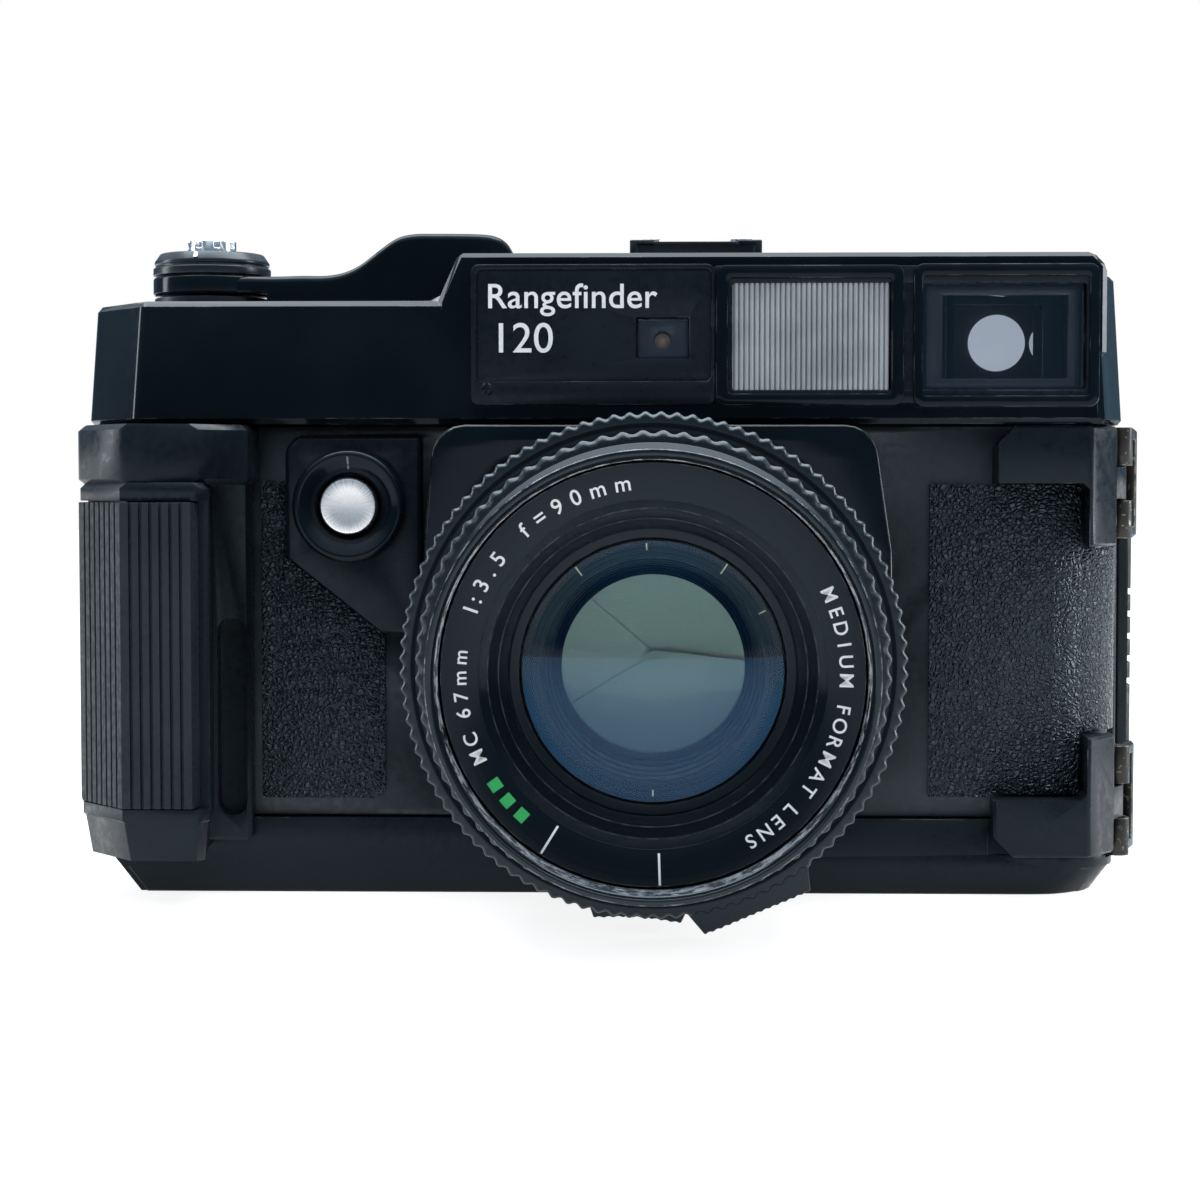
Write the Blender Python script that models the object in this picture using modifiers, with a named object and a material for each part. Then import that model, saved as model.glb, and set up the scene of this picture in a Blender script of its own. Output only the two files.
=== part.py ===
"""A 6 x 9 roll-film press camera with a coupled rangefinder, built as separate pieces.

Millimetres are used below and turned into metres by MM.  +Z is up, the lens points to -Y,
and +X is on the right of somebody who faces the lens.  The origin is the middle of the
camera's box, on the plane it stands on.
"""
import math

import bmesh
import bpy
from mathutils import Matrix, Vector

MM = 0.001
GAP = 0.3                 # clearance between neighbours

# --- the body, in plan ---
FRAME_LEFT = -90.4
FRAME_RIGHT = 91.0
FRAME_FRONT = 11.6
FRAME_BACK = 55.6
CORNER_RADIUS = 12.0      # the front right corner
SKIN = 0.8                # leatherette thickness
OUTER_LEFT = -99.6        # outside of the top cover and the grip's brow
GRIP_SIDE = -98.4         # outside of the grip below its brow
GRIP_INNER = -74.4        # the grip's inner side, beside its rail
COVER_RIGHT = 92.0        # right side of the top cover, at its lower edge
BOX_RIGHT = 99.6          # outside of the door's latch
COVER_FRONT = 4.0         # front of the top cover

# --- the body, in height ---
SOLE_TOP = 4.6            # below this the bottom cover's ends draw in
STEP_TOP = 8.4            # the bottom cover's step under the grip
BASE_TOP = 13.8           # seam between the bottom cover and the body
FRAME_TOP = 85.7
COVER_BASE = 86.0         # lower edge of the top cover
LOW_TOP = 108.2           # top of the low part, under the lever
FINDER_TOP = 116.7        # top of the finder housing
SHOULDER_TOP = 113.2      # top of the cover's right side
WALL = 1.8

# --- the picture gate and the film ---
FILM_PLANE = 50.3
GATE_WIDTH = 84.0
GATE_HEIGHT = 56.0
SPOOL_LENGTH = 63.6
SPOOL_RADIUS = 12.4
CHAMBER_HEIGHT = 66.0
TAKE_UP = (-72.0, 37.0)   # spool axes in plan
FEED = (73.0, 37.0)

# --- the lens ---
LENS_X = 6.0
LENS_Z = 45.4
LENS_FRONT = -64.5
BARREL_RADIUS = 36.0
SPEED_RADIUS = 41.5       # outer scalloped ring
APERTURE_RADIUS = 38.3    # second scalloped ring
RIM_RADIUS = 35.1         # front rim
SIDES = 28                # facets round a large turned piece
BLADE_COUNT = 5
BLADE_PIVOT = 17.6        # distance of a blade's pivot from the lens axis
BLADE_PITCH = 0.65        # distance between the planes of two blades

# --- controls on top and at the back ---
HUB = (-78.9, 32.5)       # the lever's axis in plan
HUB_TOP = 114.5
RELEASE = (-49.2, 71.2)   # X and Z of the front release
# Openings in the top cover and the bezel: left, right, bottom and top.
WINDOWS = {
    "rangefinder": (2.9, 12.3, 97.6, 104.9),
    "light": (19.0, 48.3, 91.6, 111.9),
    "finder": (53.6, 82.9, 91.2, 112.0),
}
EYEPIECE = (68.3, 101.6)  # X and Z
HINGE = (-95.2, 57.7)     # the back door's axis in plan
DOOR_LEFT = -91.8
DOOR_RIGHT = 95.8
DOOR_INSIDE = 56.2
DOOR_OUTSIDE = 60.0
BACK_END = 64.5

# --- strap lugs ---
LUG_PIN = (92.2, 17.4)
LUG_HEIGHTS = {"upper": 75.4, "lower": 16.6}
LUG_REACH = 10.0
LUG_ANGLE = 67.0          # rest direction, from +X towards the back

PARTS = "press_camera"
CUTTERS = "cutters"


# ---------------------------------------------------------------- helpers

def clear_scene():
    """Removes what a new file holds and makes the two collections."""
    for item in list(bpy.data.objects):
        bpy.data.objects.remove(item, do_unlink=True)
    for name in (PARTS, CUTTERS):
        collection = bpy.data.collections.new(name)
        bpy.context.scene.collection.children.link(collection)


def material(name, colour, roughness, metallic=0.0):
    """A plain Principled material."""
    made = bpy.data.materials.new(name)
    made.use_nodes = True
    shader = made.node_tree.nodes["Principled BSDF"]
    shader.inputs["Base Color"].default_value = (*colour, 1.0)
    shader.inputs["Roughness"].default_value = roughness
    shader.inputs["Metallic"].default_value = metallic
    return made


def place(name, mesh, matrix=None):
    """An object for a mesh, in the parts collection."""
    obj = bpy.data.objects.new(name, mesh)
    obj.matrix_world = matrix or Matrix()
    bpy.data.collections[PARTS].objects.link(obj)
    return obj


def baked(obj, name):
    """The evaluated shape of obj as a welded mesh object with its faces pointing out."""
    graph = bpy.context.evaluated_depsgraph_get()
    mesh = bpy.data.meshes.new_from_object(obj.evaluated_get(graph))
    work = bmesh.new()
    work.from_mesh(mesh)
    bmesh.ops.remove_doubles(work, verts=work.verts, dist=1e-6)
    bmesh.ops.recalc_face_normals(work, faces=work.faces)
    work.to_mesh(mesh)
    work.free()
    matrix = obj.matrix_world.copy()
    bpy.data.objects.remove(obj, do_unlink=True)
    mesh.name = name
    return place(name, mesh, matrix)


def block(name, low, high):
    """A box between two corners."""
    work = bmesh.new()
    bmesh.ops.create_cube(work, size=1.0)
    size = [(b - a) * MM for a, b in zip(low, high)]
    middle = [(a + b) / 2 * MM for a, b in zip(low, high)]
    bmesh.ops.scale(work, vec=size, verts=work.verts)
    mesh = bpy.data.meshes.new(name)
    work.to_mesh(mesh)
    work.free()
    return place(name, mesh, Matrix.Translation(middle))


# Columns say where an outline's own x, y and its thickness direction go.
PLANES = {
    "Z": Matrix(((1, 0, 0), (0, 1, 0), (0, 0, 1))),
    "Y": Matrix(((1, 0, 0), (0, 0, -1), (0, 1, 0))),
    "X": Matrix(((0, 0, 1), (1, 0, 0), (0, 1, 0))),
}


def plate(name, outlines, start, end, axis="Z"):
    """A flat outline with a thickness along an axis; further outlines are holes.

    Outlines are (x, y) for Z, (x, z) for Y and (y, z) for X.
    """
    curve = bpy.data.curves.new(name, "CURVE")
    curve.dimensions = "2D"
    curve.fill_mode = "BOTH"
    curve.extrude = abs(end - start) / 2 * MM
    for outline in outlines:
        spline = curve.splines.new("POLY")
        spline.points.add(len(outline) - 1)
        for point, (x, y) in zip(spline.points, outline):
            point.co = (x * MM, y * MM, 0.0, 1.0)
        spline.use_cyclic_u = True
    obj = bpy.data.objects.new(name, curve)
    bpy.data.collections[PARTS].objects.link(obj)
    middle = Vector([0, 0, 0])
    middle["XYZ".index(axis)] = (start + end) / 2 * MM
    obj.matrix_world = Matrix.Translation(middle) @ PLANES[axis].to_4x4()
    bpy.context.view_layer.update()
    return baked(obj, name)


def turned(name, profile, steps=48, axis="Z", centre=(0.0, 0.0)):
    """A profile of (radius, height) points turned about Z or about the lens direction Y.

    A profile that starts and ends at radius 0 makes a solid, any other makes a ring.
    """
    mesh = bpy.data.meshes.new(name)
    solid = profile[0][0] == 0 and profile[-1][0] == 0
    count = len(profile)
    edges = [(i, i + 1) for i in range(count - 1)]
    if not solid:
        edges.append((count - 1, 0))
    mesh.from_pydata([(r * MM, 0.0, h * MM) for r, h in profile], edges, [])
    obj = bpy.data.objects.new(name, mesh)
    bpy.data.collections[PARTS].objects.link(obj)
    screw = obj.modifiers.new("turn", "SCREW")
    screw.steps = steps
    screw.render_steps = steps
    screw.use_merge_vertices = True
    screw.merge_threshold = 1e-6
    if axis == "Y":
        turn = Matrix.Rotation(-math.pi / 2, 4, "X")
        middle = (centre[0] * MM, 0.0, centre[1] * MM)
    else:
        turn = Matrix()
        middle = (centre[0] * MM, centre[1] * MM, 0.0)
    obj.matrix_world = Matrix.Translation(middle) @ turn
    bpy.context.view_layer.update()
    return baked(obj, name)


def rod(name, radius, start, end, axis="Z", centre=(0.0, 0.0), steps=24):
    """A plain cylinder along Z or Y."""
    return turned(name, [(0, end), (radius, end), (radius, start), (0, start)], steps, axis, centre)


def hide_cutter(cutter):
    """Moves a cutter out of the parts."""
    bpy.data.collections[PARTS].objects.unlink(cutter)
    bpy.data.collections[CUTTERS].objects.link(cutter)
    cutter.name = "cutter"
    cutter.hide_render = True
    cutter.display_type = "WIRE"


def boolean(target, tool, operation):
    """An exact Boolean that stays on its object."""
    hide_cutter(tool)
    modifier = target.modifiers.new(operation.lower(), "BOOLEAN")
    modifier.operation = operation
    modifier.object = tool
    modifier.solver = "EXACT"
    return target


def cut(target, *tools):
    for tool in tools:
        boolean(target, tool, "DIFFERENCE")
    return target


def join(target, *tools):
    for tool in tools:
        boolean(target, tool, "UNION")
    return target


def chamfer(obj, width, angle=40.0, segments=1):
    """Breaks the sharp edges that the object has so far."""
    bevel = obj.modifiers.new("edges", "BEVEL")
    bevel.width = width * MM
    bevel.segments = segments
    bevel.limit_method = "ANGLE"
    bevel.angle_limit = math.radians(angle)
    bevel.use_clamp_overlap = True
    return obj


def finish(obj, finish_material, pivot=None):
    """Sets the material, and for a moving piece its origin, in millimetres."""
    if pivot:
        shift = Vector(pivot) * MM - obj.matrix_world.translation
        local = obj.matrix_world.to_3x3().inverted() @ shift
        obj.data.transform(Matrix.Translation(-local))
        obj.matrix_world = Matrix.Translation(shift) @ obj.matrix_world
    obj.data.materials.clear()
    obj.data.materials.append(finish_material)
    obj.data.shade_smooth()
    obj.data.set_sharp_from_angle(angle=math.radians(35))
    return obj


def arc(centre, radius, start, end, count):
    """Points along a circle, angles in degrees."""
    points = []
    for step in range(count + 1):
        angle = math.radians(start + (end - start) * step / count)
        points.append((centre[0] + radius * math.cos(angle), centre[1] + radius * math.sin(angle)))
    return points


def rectangle(x0, x1, y0, y1):
    return [(x0, y0), (x1, y0), (x1, y1), (x0, y1)]


def lean(obj, z_base, slope_x, slope_y, middle, upward=True):
    """Draws a shell's upper or lower points in towards its middle, so that its walls lean."""
    for vertex in obj.data.vertices:
        point = obj.matrix_world @ vertex.co
        rise = point.z - z_base * MM
        rise = max(0.0, rise if upward else -rise)
        point.x -= math.copysign(rise * slope_x, point.x - middle[0] * MM)
        point.y -= math.copysign(rise * slope_y, point.y - middle[1] * MM)
        vertex.co = obj.matrix_world.inverted() @ point


def body_outline(grow, front=FRAME_FRONT, left=FRAME_LEFT, back=FRAME_BACK):
    """The body in plan, with its round front right corner, grown outwards all round."""
    centre = (FRAME_RIGHT - CORNER_RADIUS, front + CORNER_RADIUS)
    points = [(left - grow, back + grow), (left - grow, front - grow)]
    points += arc(centre, CORNER_RADIUS + grow, -90, 0, 8)
    points.append((FRAME_RIGHT + grow, back + grow))
    return points


# ---------------------------------------------------------------- body

def make_frame(metal):
    """The die-cast body: a film chamber each side of a tapering light box."""
    frame = plate("main_frame", [body_outline(0)], BASE_TOP + GAP, FRAME_TOP)
    foot = plate("foot", [body_outline(-2.4)], 3.4, BASE_TOP + 2)
    join(frame, foot)
    low = LENS_Z - CHAMBER_HEIGHT / 2
    high = LENS_Z + CHAMBER_HEIGHT / 2
    for x, y in (TAKE_UP, FEED):
        reach = SPOOL_RADIUS + 2.6
        round_end = arc((x, y), reach, 180, 360, 12)
        outline = round_end + [(x + reach, FRAME_BACK + 5), (x - reach, FRAME_BACK + 5)]
        cut(frame, plate("chamber", [outline], low, high))
    gate_x = (LENS_X - GATE_WIDTH / 2, LENS_X + GATE_WIDTH / 2)
    gate_z = (LENS_Z - GATE_HEIGHT / 2, LENS_Z + GATE_HEIGHT / 2)
    cut(frame, block("gate", (gate_x[0], 30, gate_z[0]), (gate_x[1], FRAME_BACK + 5, gate_z[1])))
    # The film runs across the rails between the chambers, a little in front of the back edge.
    track = block("track", (TAKE_UP[0], FILM_PLANE, low), (FEED[0], FRAME_BACK + 5, high))
    cut(frame, track)
    throat = turned("throat", [(0, 31), (27.5, 31), (27.5, 20), (37.6, 20), (37.6, -5), (0, -5)],
                    SIDES, "Y", (LENS_X, LENS_Z))
    cut(frame, throat)
    cut(frame, block("mechanism_bay", (-54.0, 15.0, 18.0), (-39.0, 48.0, FRAME_TOP + 5)))
    socket = rod("socket", 7.4, 0, 12.4, "Z", (LENS_X, 30), 24)
    cut(frame, socket)
    return finish(frame, metal)


def make_bottom_cover(paint):
    """A tray with a bevelled edge, which the camera stands on."""
    outline = body_outline(0.9, front=10.9, left=FRAME_LEFT - 0.2)
    tray = plate("bottom_cover", [outline], SOLE_TOP, BASE_TOP)
    sole = plate("sole", [outline], 0, SOLE_TOP + 0.4)
    chamfer(sole, 1.2, 60)
    lean(sole, SOLE_TOP, 0.85, 0, (0, 30), upward=False)
    step = plate("step", [[(-97.0, 17.0), (-95.5, 10.9), (-80.0, 10.9), (-80.0, 56.5), (-97.0, 56.5)]],
                 0, STEP_TOP)
    lean(step, 3.0, 2.2, 0, (-70, 30), upward=False)
    join(tray, sole, step)
    pocket = plate("pocket", [body_outline(-2.1)], 3.0, BASE_TOP + 5)
    hole = rod("hole", 7.8, -1, 5, "Z", (LENS_X, 30), 24)
    seat = plate("bracket_seat", [bracket_plan(GAP)], 7.3, BASE_TOP + 5)
    lug_room = rod("lug_room", 3.0, 6.0, BASE_TOP + 5, "Z", LUG_PIN, 20)
    cut(tray, pocket, hole, seat, lug_room)
    return finish(tray, paint)


def make_tripod_socket(steel):
    """The threaded bush in the base; its thread is left plain."""
    profile = [(7.0, 0.4), (7.0, 12.0), (3.1, 12.0), (3.1, 1.0), (3.8, 0.4)]
    return finish(turned("tripod_socket", profile, 24, "Z", (LENS_X, 30)), steel)


def cover_outline(inset=0.0):
    """The top cover in plan: broad facets join its front to its sides."""
    outline = [(OUTER_LEFT + inset, FRAME_BACK - inset),
               (OUTER_LEFT + inset, 18.5 + inset * 0.4),
               (-88.0 + inset * 0.4, COVER_FRONT + inset),
               (86.6 - inset * 0.4, COVER_FRONT + inset),
               (COVER_RIGHT - inset, 16.5 + inset * 0.4),
               (COVER_RIGHT - inset, FRAME_BACK - inset)]
    return outline


def shoulder_outline(inset=0.0):
    """The taller right end of the cover in plan."""
    outline = cover_outline(inset)
    return [(60.0, FRAME_BACK - inset), (60.0, 12.0)] + outline[3:]


def finder_outline(inset=0.0):
    """The raised finder housing seen from the front, with its sloping left shoulder."""
    return [(-33.6 + inset, COVER_BASE + 12), (-33.0 + inset, LOW_TOP - 0.1),
            (-29.2 + inset, FINDER_TOP - inset),
            (84.6 - inset, FINDER_TOP - inset), (87.1 - inset, FINDER_TOP - 2.6 - inset * 0.4),
            (87.1 - inset, COVER_BASE + 12)]


def make_top_cover(paint):
    """A thin shell: a low part under the lever and the finder housing beside it."""
    outer = plate("top_cover", [cover_outline()], COVER_BASE, LOW_TOP)
    lean(outer, COVER_BASE, 0.07, 0.02, (-4, 30))
    chamfer(outer, 1.0, 30)
    shoulder = plate("shoulder", [shoulder_outline()], COVER_BASE, SHOULDER_TOP)
    lean(shoulder, COVER_BASE, 0.06, 0.02, (-4, 30))
    chamfer(shoulder, 0.8, 30)
    housing = plate("housing", [finder_outline()], COVER_FRONT + 0.4, FRAME_BACK - 1.0, "Y")
    chamfer(housing, 0.8, 30)
    join(outer, shoulder, housing)
    inner = plate("inner", [cover_outline(WALL)], COVER_BASE - 5, LOW_TOP - WALL)
    lean(inner, COVER_BASE, 0.07, 0.02, (-4, 30))
    side_room = plate("side_room", [shoulder_outline(WALL)], COVER_BASE - 5, SHOULDER_TOP - WALL)
    lean(side_room, COVER_BASE, 0.06, 0.02, (-4, 30))
    room = plate("room", [finder_outline(WALL)], COVER_FRONT + WALL + 1, FRAME_BACK - WALL - 1, "Y")
    cut(outer, inner, side_room, room)
    for name, (x0, x1, z0, z1) in WINDOWS.items():
        cut(outer, block(name, (x0, -5, z0), (x1, 12, z1)))
    cut(outer, rod("eye", 7.0, 50, 60, "Y", EYEPIECE, 24))
    cut(outer, rod("hub", 5.6, 100, 112, "Z", HUB, 24))
    return finish(outer, paint)


def make_bezel(paint, glass, pale, steel):
    """The plate round the finder windows, the windows themselves and the plate's screw."""
    bezel = block("viewfinder_bezel", (-26.8, 1.5, 89.3), (84.8, 3.7, 114.4))
    chamfer(bezel, 0.5)
    for name, (x0, x1, z0, z1) in WINDOWS.items():
        cut(bezel, block(name, (x0, -5, z0), (x1, 12, z1)))
    cut(bezel, rod("screw_hole", 1.6, -5, 2.7, "Y", (-24.0, 92.1), 16))
    finish(bezel, paint)
    screw = turned("bezel_screw", [(0, 2.4), (1.3, 2.4), (1.3, 1.6), (0.9, 1.3), (0, 1.3)], 16, "Y",
                   (-24.0, 92.1))
    cut(screw, block("slot", (-25.0, 0.5, 91.9), (-23.0, 1.7, 92.3)))
    cut(screw, block("slot", (-24.2, 0.5, 91.1), (-23.8, 1.7, 93.1)))
    finish(screw, steel)
    panes = (("rangefinder_glass", "rangefinder", 3.2, glass), ("frame_light_window", "light", 2.2, pale),
             ("viewfinder_front_glass", "finder", 3.4, glass))
    for piece, window, front, look in panes:
        x0, x1, z0, z1 = WINDOWS[window]
        pane = block(piece, (x0 + GAP, front, z0 + GAP), (x1 - GAP, front + 1.6, z1 - GAP))
        finish(pane, look)


def make_finder_optics(glass, mirror, metal):
    """The turning mirror, the beam splitter and the eyepiece."""
    turn = Matrix.Rotation(math.radians(45), 4, "Z")
    pieces = (("rangefinder_mirror", (7.6, 20.0, 101.3), (11.0, 1.6, 11.0), mirror),
              ("beam_splitter", (68.3, 20.0, 101.6), (24.0, 1.6, 17.0), glass))
    for name, middle, size, look in pieces:
        half = [s / 2 for s in size]
        obj = block(name, [-h for h in half], half)
        obj.matrix_world = Matrix.Translation(Vector(middle) * MM) @ turn
        finish(obj, look)
    end = BACK_END
    ring = turned("eyepiece_ring", [(6.6, 52.5), (6.6, 56.0), (10.4, 56.0), (10.4, end - 0.8),
                                    (9.6, end), (7.6, end), (5.6, end - 2.5), (5.6, 52.5)],
                  24, "Y", EYEPIECE)
    finish(ring, metal)
    lens = turned("eyepiece_lens", [(0, 57.6), (5.2, 58.2), (5.2, 60.2), (0, 61.2)], 20, "Y", EYEPIECE)
    finish(lens, glass)


def make_shoe(metal, steel):
    """The accessory shoe: a C-shaped rail with a stop at the front and a sprung plate in its slot."""
    left, right = 1.4, 26.1
    lip = 4.6
    side = 1.6
    base = FINDER_TOP + GAP
    floor = base + 0.8
    under_lip = base + 2.9
    top = base + 3.8
    outline = [(left, base), (right, base), (right, top), (right - lip, top), (right - lip, under_lip),
               (right - side, under_lip), (right - side, floor), (left + side, floor),
               (left + side, under_lip), (left + lip, under_lip), (left + lip, top), (left, top)]
    shoe = plate("accessory_shoe", [outline], 22.0, 42.0, "Y")
    chamfer(shoe, 0.2)
    join(shoe, block("stop", (left + 0.8, 22.4, base + 0.4), (right - 0.8, 23.6, top - 0.3)))
    finish(shoe, metal)
    leaf = block("shoe_spring", (left + 2.2, 24.0, floor + 0.3), (right - 2.2, 41.0, floor + 0.6))
    for x in (left + lip + 0.4, right - lip - 3.0):
        join(leaf, block("tip", (x, 24.0, floor + 0.4), (x + 2.6, 27.0, top + 0.5)))
    finish(leaf, steel)


def grip_outline(grow=0.0):
    """The hand grip in plan: side, broad facet and front; the inner side follows the body."""
    side = GRIP_SIDE - grow
    return [(side, 55.0), (side, 6.0), (side + 1.6, -0.6), (-87.2 - grow * 0.4, -12.0 - grow),
            (-73.6, -12.0 - grow), (-72.1 + grow, -9.6), (GRIP_INNER + grow, 6.0),
            (GRIP_INNER + grow, FRAME_FRONT - GAP),
            (FRAME_LEFT - GAP, FRAME_FRONT - GAP), (FRAME_LEFT - GAP, 55.0)]


def make_grip(plastic, rubber):
    """The grip shell with a brow on top, ears for the door's hinge and a ribbed rubber cover."""
    shell = plate("grip_shell", [grip_outline()], 15.0, 75.4)
    brow = plate("brow", [[(OUTER_LEFT, 55.0), (OUTER_LEFT, 16.0), (-98.6, 5.6), (-96.9, -0.1),
                           (-86.9, -11.2), (-74.0, -8.6), (-66.4, -2.0), (-66.4, FRAME_FRONT - GAP),
                           (FRAME_LEFT - GAP, FRAME_FRONT - GAP), (FRAME_LEFT - GAP, 55.0)]],
                 75.0, FRAME_TOP)
    chamfer(shell, 1.0, 50)
    chamfer(brow, 1.0, 50)
    foot = plate("grip_foot", [grip_outline(-0.4)], STEP_TOP + GAP, 16.0)
    lean(foot, 14.6, 0.15, 0.25, (-82, 20), upward=False)
    rail = block("rail", (GRIP_INNER - 2, 6.6, 10.0), (-67.6, FRAME_FRONT - GAP, 76.0))
    chamfer(rail, 0.8)
    join(shell, brow, foot, rail)
    clear_tray = plate("clear_tray", [body_outline(1.3, front=10.9)], 0, BASE_TOP + GAP)
    clear_body = plate("clear_body", [body_outline(GAP)], 0, 100)
    cut(shell, clear_tray, clear_body)
    slot_x = -71.0
    half_width = 2.7
    slot = arc((slot_x, 48.3), half_width, 0, 180, 8) + arc((slot_x, 17.2), half_width, 180, 360, 8)
    cut(shell, plate("finger_slot", [slot], 0, 10.4, "Y"))
    for low, high in ((15.0, 24.7), (75.3, 84.0)):
        ear = block("ear", (-98.4, 50.0, low), (-92.4, 60.2, high))
        join(shell, chamfer(ear, 1.4))
    cut(shell, rod("pin_hole", 1.5, 10, 90, "Z", HINGE, 16))
    band_low, band_high = 18.0, 72.2
    backing = [(-75.2, -10.1), (-86.4, -10.1), (GRIP_SIDE + 3.0, 0.4), (GRIP_SIDE + 1.4, 6.0),
               (GRIP_SIDE + 1.4, 20.0)]
    recess = [(OUTER_LEFT - 5, 20.0)] + grip_outline(5)[1:6] + [(-73.4, -9.0), (-74.0, -9.0)]
    recess += backing
    cut(shell, plate("recess", [recess], band_low, band_high))
    finish(shell, plastic)
    outer = [(GRIP_SIDE - 0.2, 19.0), (GRIP_SIDE - 0.2, 5.4), (GRIP_SIDE + 1.5, -1.1),
             (-87.0, -13.2), (-74.6, -13.2), (-73.9, -9.5)]
    inner = [(-75.2, -10.5), (-86.6, -10.5), (GRIP_SIDE + 2.6, 0.2), (GRIP_SIDE + 1.0, 6.0),
             (GRIP_SIDE + 1.0, 19.0)]
    pad = plate("grip_rubber", [outer + inner], band_low + GAP, band_high - GAP)
    finish(pad, rubber)


def bracket_plan(grow=0.0):
    """A lug bracket in plan: from the front plate round the corner to the lug's pin."""
    centre = (FRAME_RIGHT - CORNER_RADIUS, FRAME_FRONT + CORNER_RADIUS)
    inside = arc(centre, CORNER_RADIUS + GAP + 1.0 - grow, 2 + 2 * grow, -90, 6)
    return [(67.5 - grow, 4.6 - grow), (84.8 + grow, 4.6 - grow), (90.4 + grow, 11.6),
            (92.9 + grow, 16.2), (93.2 + grow, 23.4 + grow)] + inside + [(67.5 - grow, inside[-1][1])]


def bracket_face():
    """The corners that are cut away from the upper bracket's front plate."""
    return ([(60.0, 50.0), (84.3, 50.0), (84.3, 74.2), (83.2, 75.3), (60.0, 75.3)],
            [(60.0, 82.1), (67.5, 82.1), (72.0, 86.6), (60.0, 86.6)])


def make_lug(which, centre_z, cover, steel, brass):
    """A strap lug on its pin, and the bracket that carries them."""
    upper = which == "upper"
    low, high = (63.9, FRAME_TOP) if upper else (7.6, 29.4)
    bracket = plate(f"{which}_lug_bracket", [bracket_plan()], low, high)
    chamfer(bracket, 0.5, 50)
    middle = (FRAME_TOP + 7.6) / 2
    for outline in bracket_face():
        if not upper:
            outline = [(x, 2 * middle - z) for x, z in outline]
        cut(bracket, plate("corner", [outline], -10, 20, "Y"))
    knuckle = 2.9
    reach = 10.2
    spans = ((centre_z + knuckle, centre_z + reach + 8), (centre_z - reach - 8, centre_z - knuckle))
    for start, end in spans:
        cut(bracket, rod("clearance", 2.5, start, end, "Z", LUG_PIN, 20))
        side = plate("side", [[(90.0, 11.6), (99, 11.6), (99, 30), (90.0, 30)]], start, end)
        cut(bracket, side)
    cut(bracket, rod("pin_hole", 1.3, 0, 100, "Z", LUG_PIN, 16))
    finish(bracket, cover)

    pin = rod(f"{which}_lug_pin", 1.0, centre_z - reach, centre_z + reach, "Z", LUG_PIN, 16)
    finish(pin, steel)

    half = 0.95
    loop = block(f"{which}_strap_lug", (0.6, -half, -reach), (LUG_REACH, half, reach))
    loop.data.transform(loop.matrix_world)
    loop.matrix_world = Matrix()
    chamfer(loop, 0.6)
    join(loop, rod("eyelet", 2.1, -reach, reach, "Z", (0, 0), 20))
    cut(loop, block("window", (2.5, -5, -reach + 2.1), (LUG_REACH - 1.9, 5, reach - 2.1)))
    cut(loop, block("middle", (-5, -5, -knuckle - GAP), (3.4, 5, knuckle + GAP)))
    cut(loop, rod("bore", 1.3, -20, 20, "Z", (0, 0), 16))
    loop.matrix_world = (Matrix.Translation(Vector((*LUG_PIN, centre_z)) * MM)
                         @ Matrix.Rotation(math.radians(LUG_ANGLE), 4, "Z"))
    for modifier in loop.modifiers:
        if modifier.type == "BOOLEAN":
            modifier.object.matrix_world = loop.matrix_world @ modifier.object.matrix_world
    finish(loop, brass)


def make_leather(skin):
    """The leatherette panels left and right of the lens."""
    left = plate("leather_left", [[(-66.2, 17.4), (-45.0, 17.4), (-43.4, 19.0), (-43.4, 47.4),
                                   (-61.4, 61.6), (-61.4, 75.8), (-66.2, 75.8)]],
                 FRAME_FRONT - GAP - SKIN, FRAME_FRONT - GAP, "Y")
    finish(left, skin)
    centre = (FRAME_RIGHT - CORNER_RADIUS, FRAME_FRONT + CORNER_RADIUS)
    end = 37.0
    outer = arc(centre, CORNER_RADIUS + GAP + SKIN, -90, 0, 8)
    inner = arc(centre, CORNER_RADIUS + GAP, 0, -90, 8)
    plan = [(56.3, FRAME_FRONT - GAP - SKIN)] + outer + [(outer[-1][0], end), (inner[0][0], end)]
    plan += inner + [(56.3, FRAME_FRONT - GAP)]
    right = plate("leather_right", [plan], 17.9, 75.1)
    cut(right, block("upper_notch", (83.9, 0, 63.5), (110, 60, 90)))
    cut(right, block("lower_notch", (83.9, 0, 0), (110, 60, 29.8)))
    cut(right, plate("lower_corner", [[(67.1, 0), (90, 0), (90, 29.8), (83.9, 29.8), (83.9, 18.4),
                                       (67.1, 18.4)]], 0, 30, "Y"))
    finish(right, skin)


def make_release(plate_paint, ring_paint, steel):
    """The release plate with its turning collar and its button on the body's front."""
    outline = [(-58.8, 84.0), (-61.1, 81.6), (-61.1, 62.0), (-43.4, 48.0), (-36.3, 48.0), (-36.3, 84.0)]
    base = plate("release_plate", [outline], 6.5, FRAME_FRONT - GAP, "Y")
    chamfer(base, 0.6)
    cut(base, rod("well", 6.5, 0, 9.6, "Y", RELEASE, 24))
    finish(base, plate_paint)
    front = 2.6
    collar = turned("front_release_ring", [(5.7, 9.3), (5.7, front + 2.2), (8.6, front + 0.3),
                                           (9.4, front), (10.3, front + 0.7), (10.3, 6.2), (6.1, 6.2),
                                           (6.1, 9.3)], 24, "Y", RELEASE)
    finish(collar, ring_paint, (RELEASE[0], front, RELEASE[1]))
    button = turned("front_release_button", [(0, front + 0.5), (4.6, front + 0.5), (5.2, front + 1.0),
                                             (5.2, 6.8), (0, 6.8)], 24, "Y", RELEASE)
    finish(button, steel, (RELEASE[0], front, RELEASE[1]))


# ---------------------------------------------------------------- lens

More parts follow.
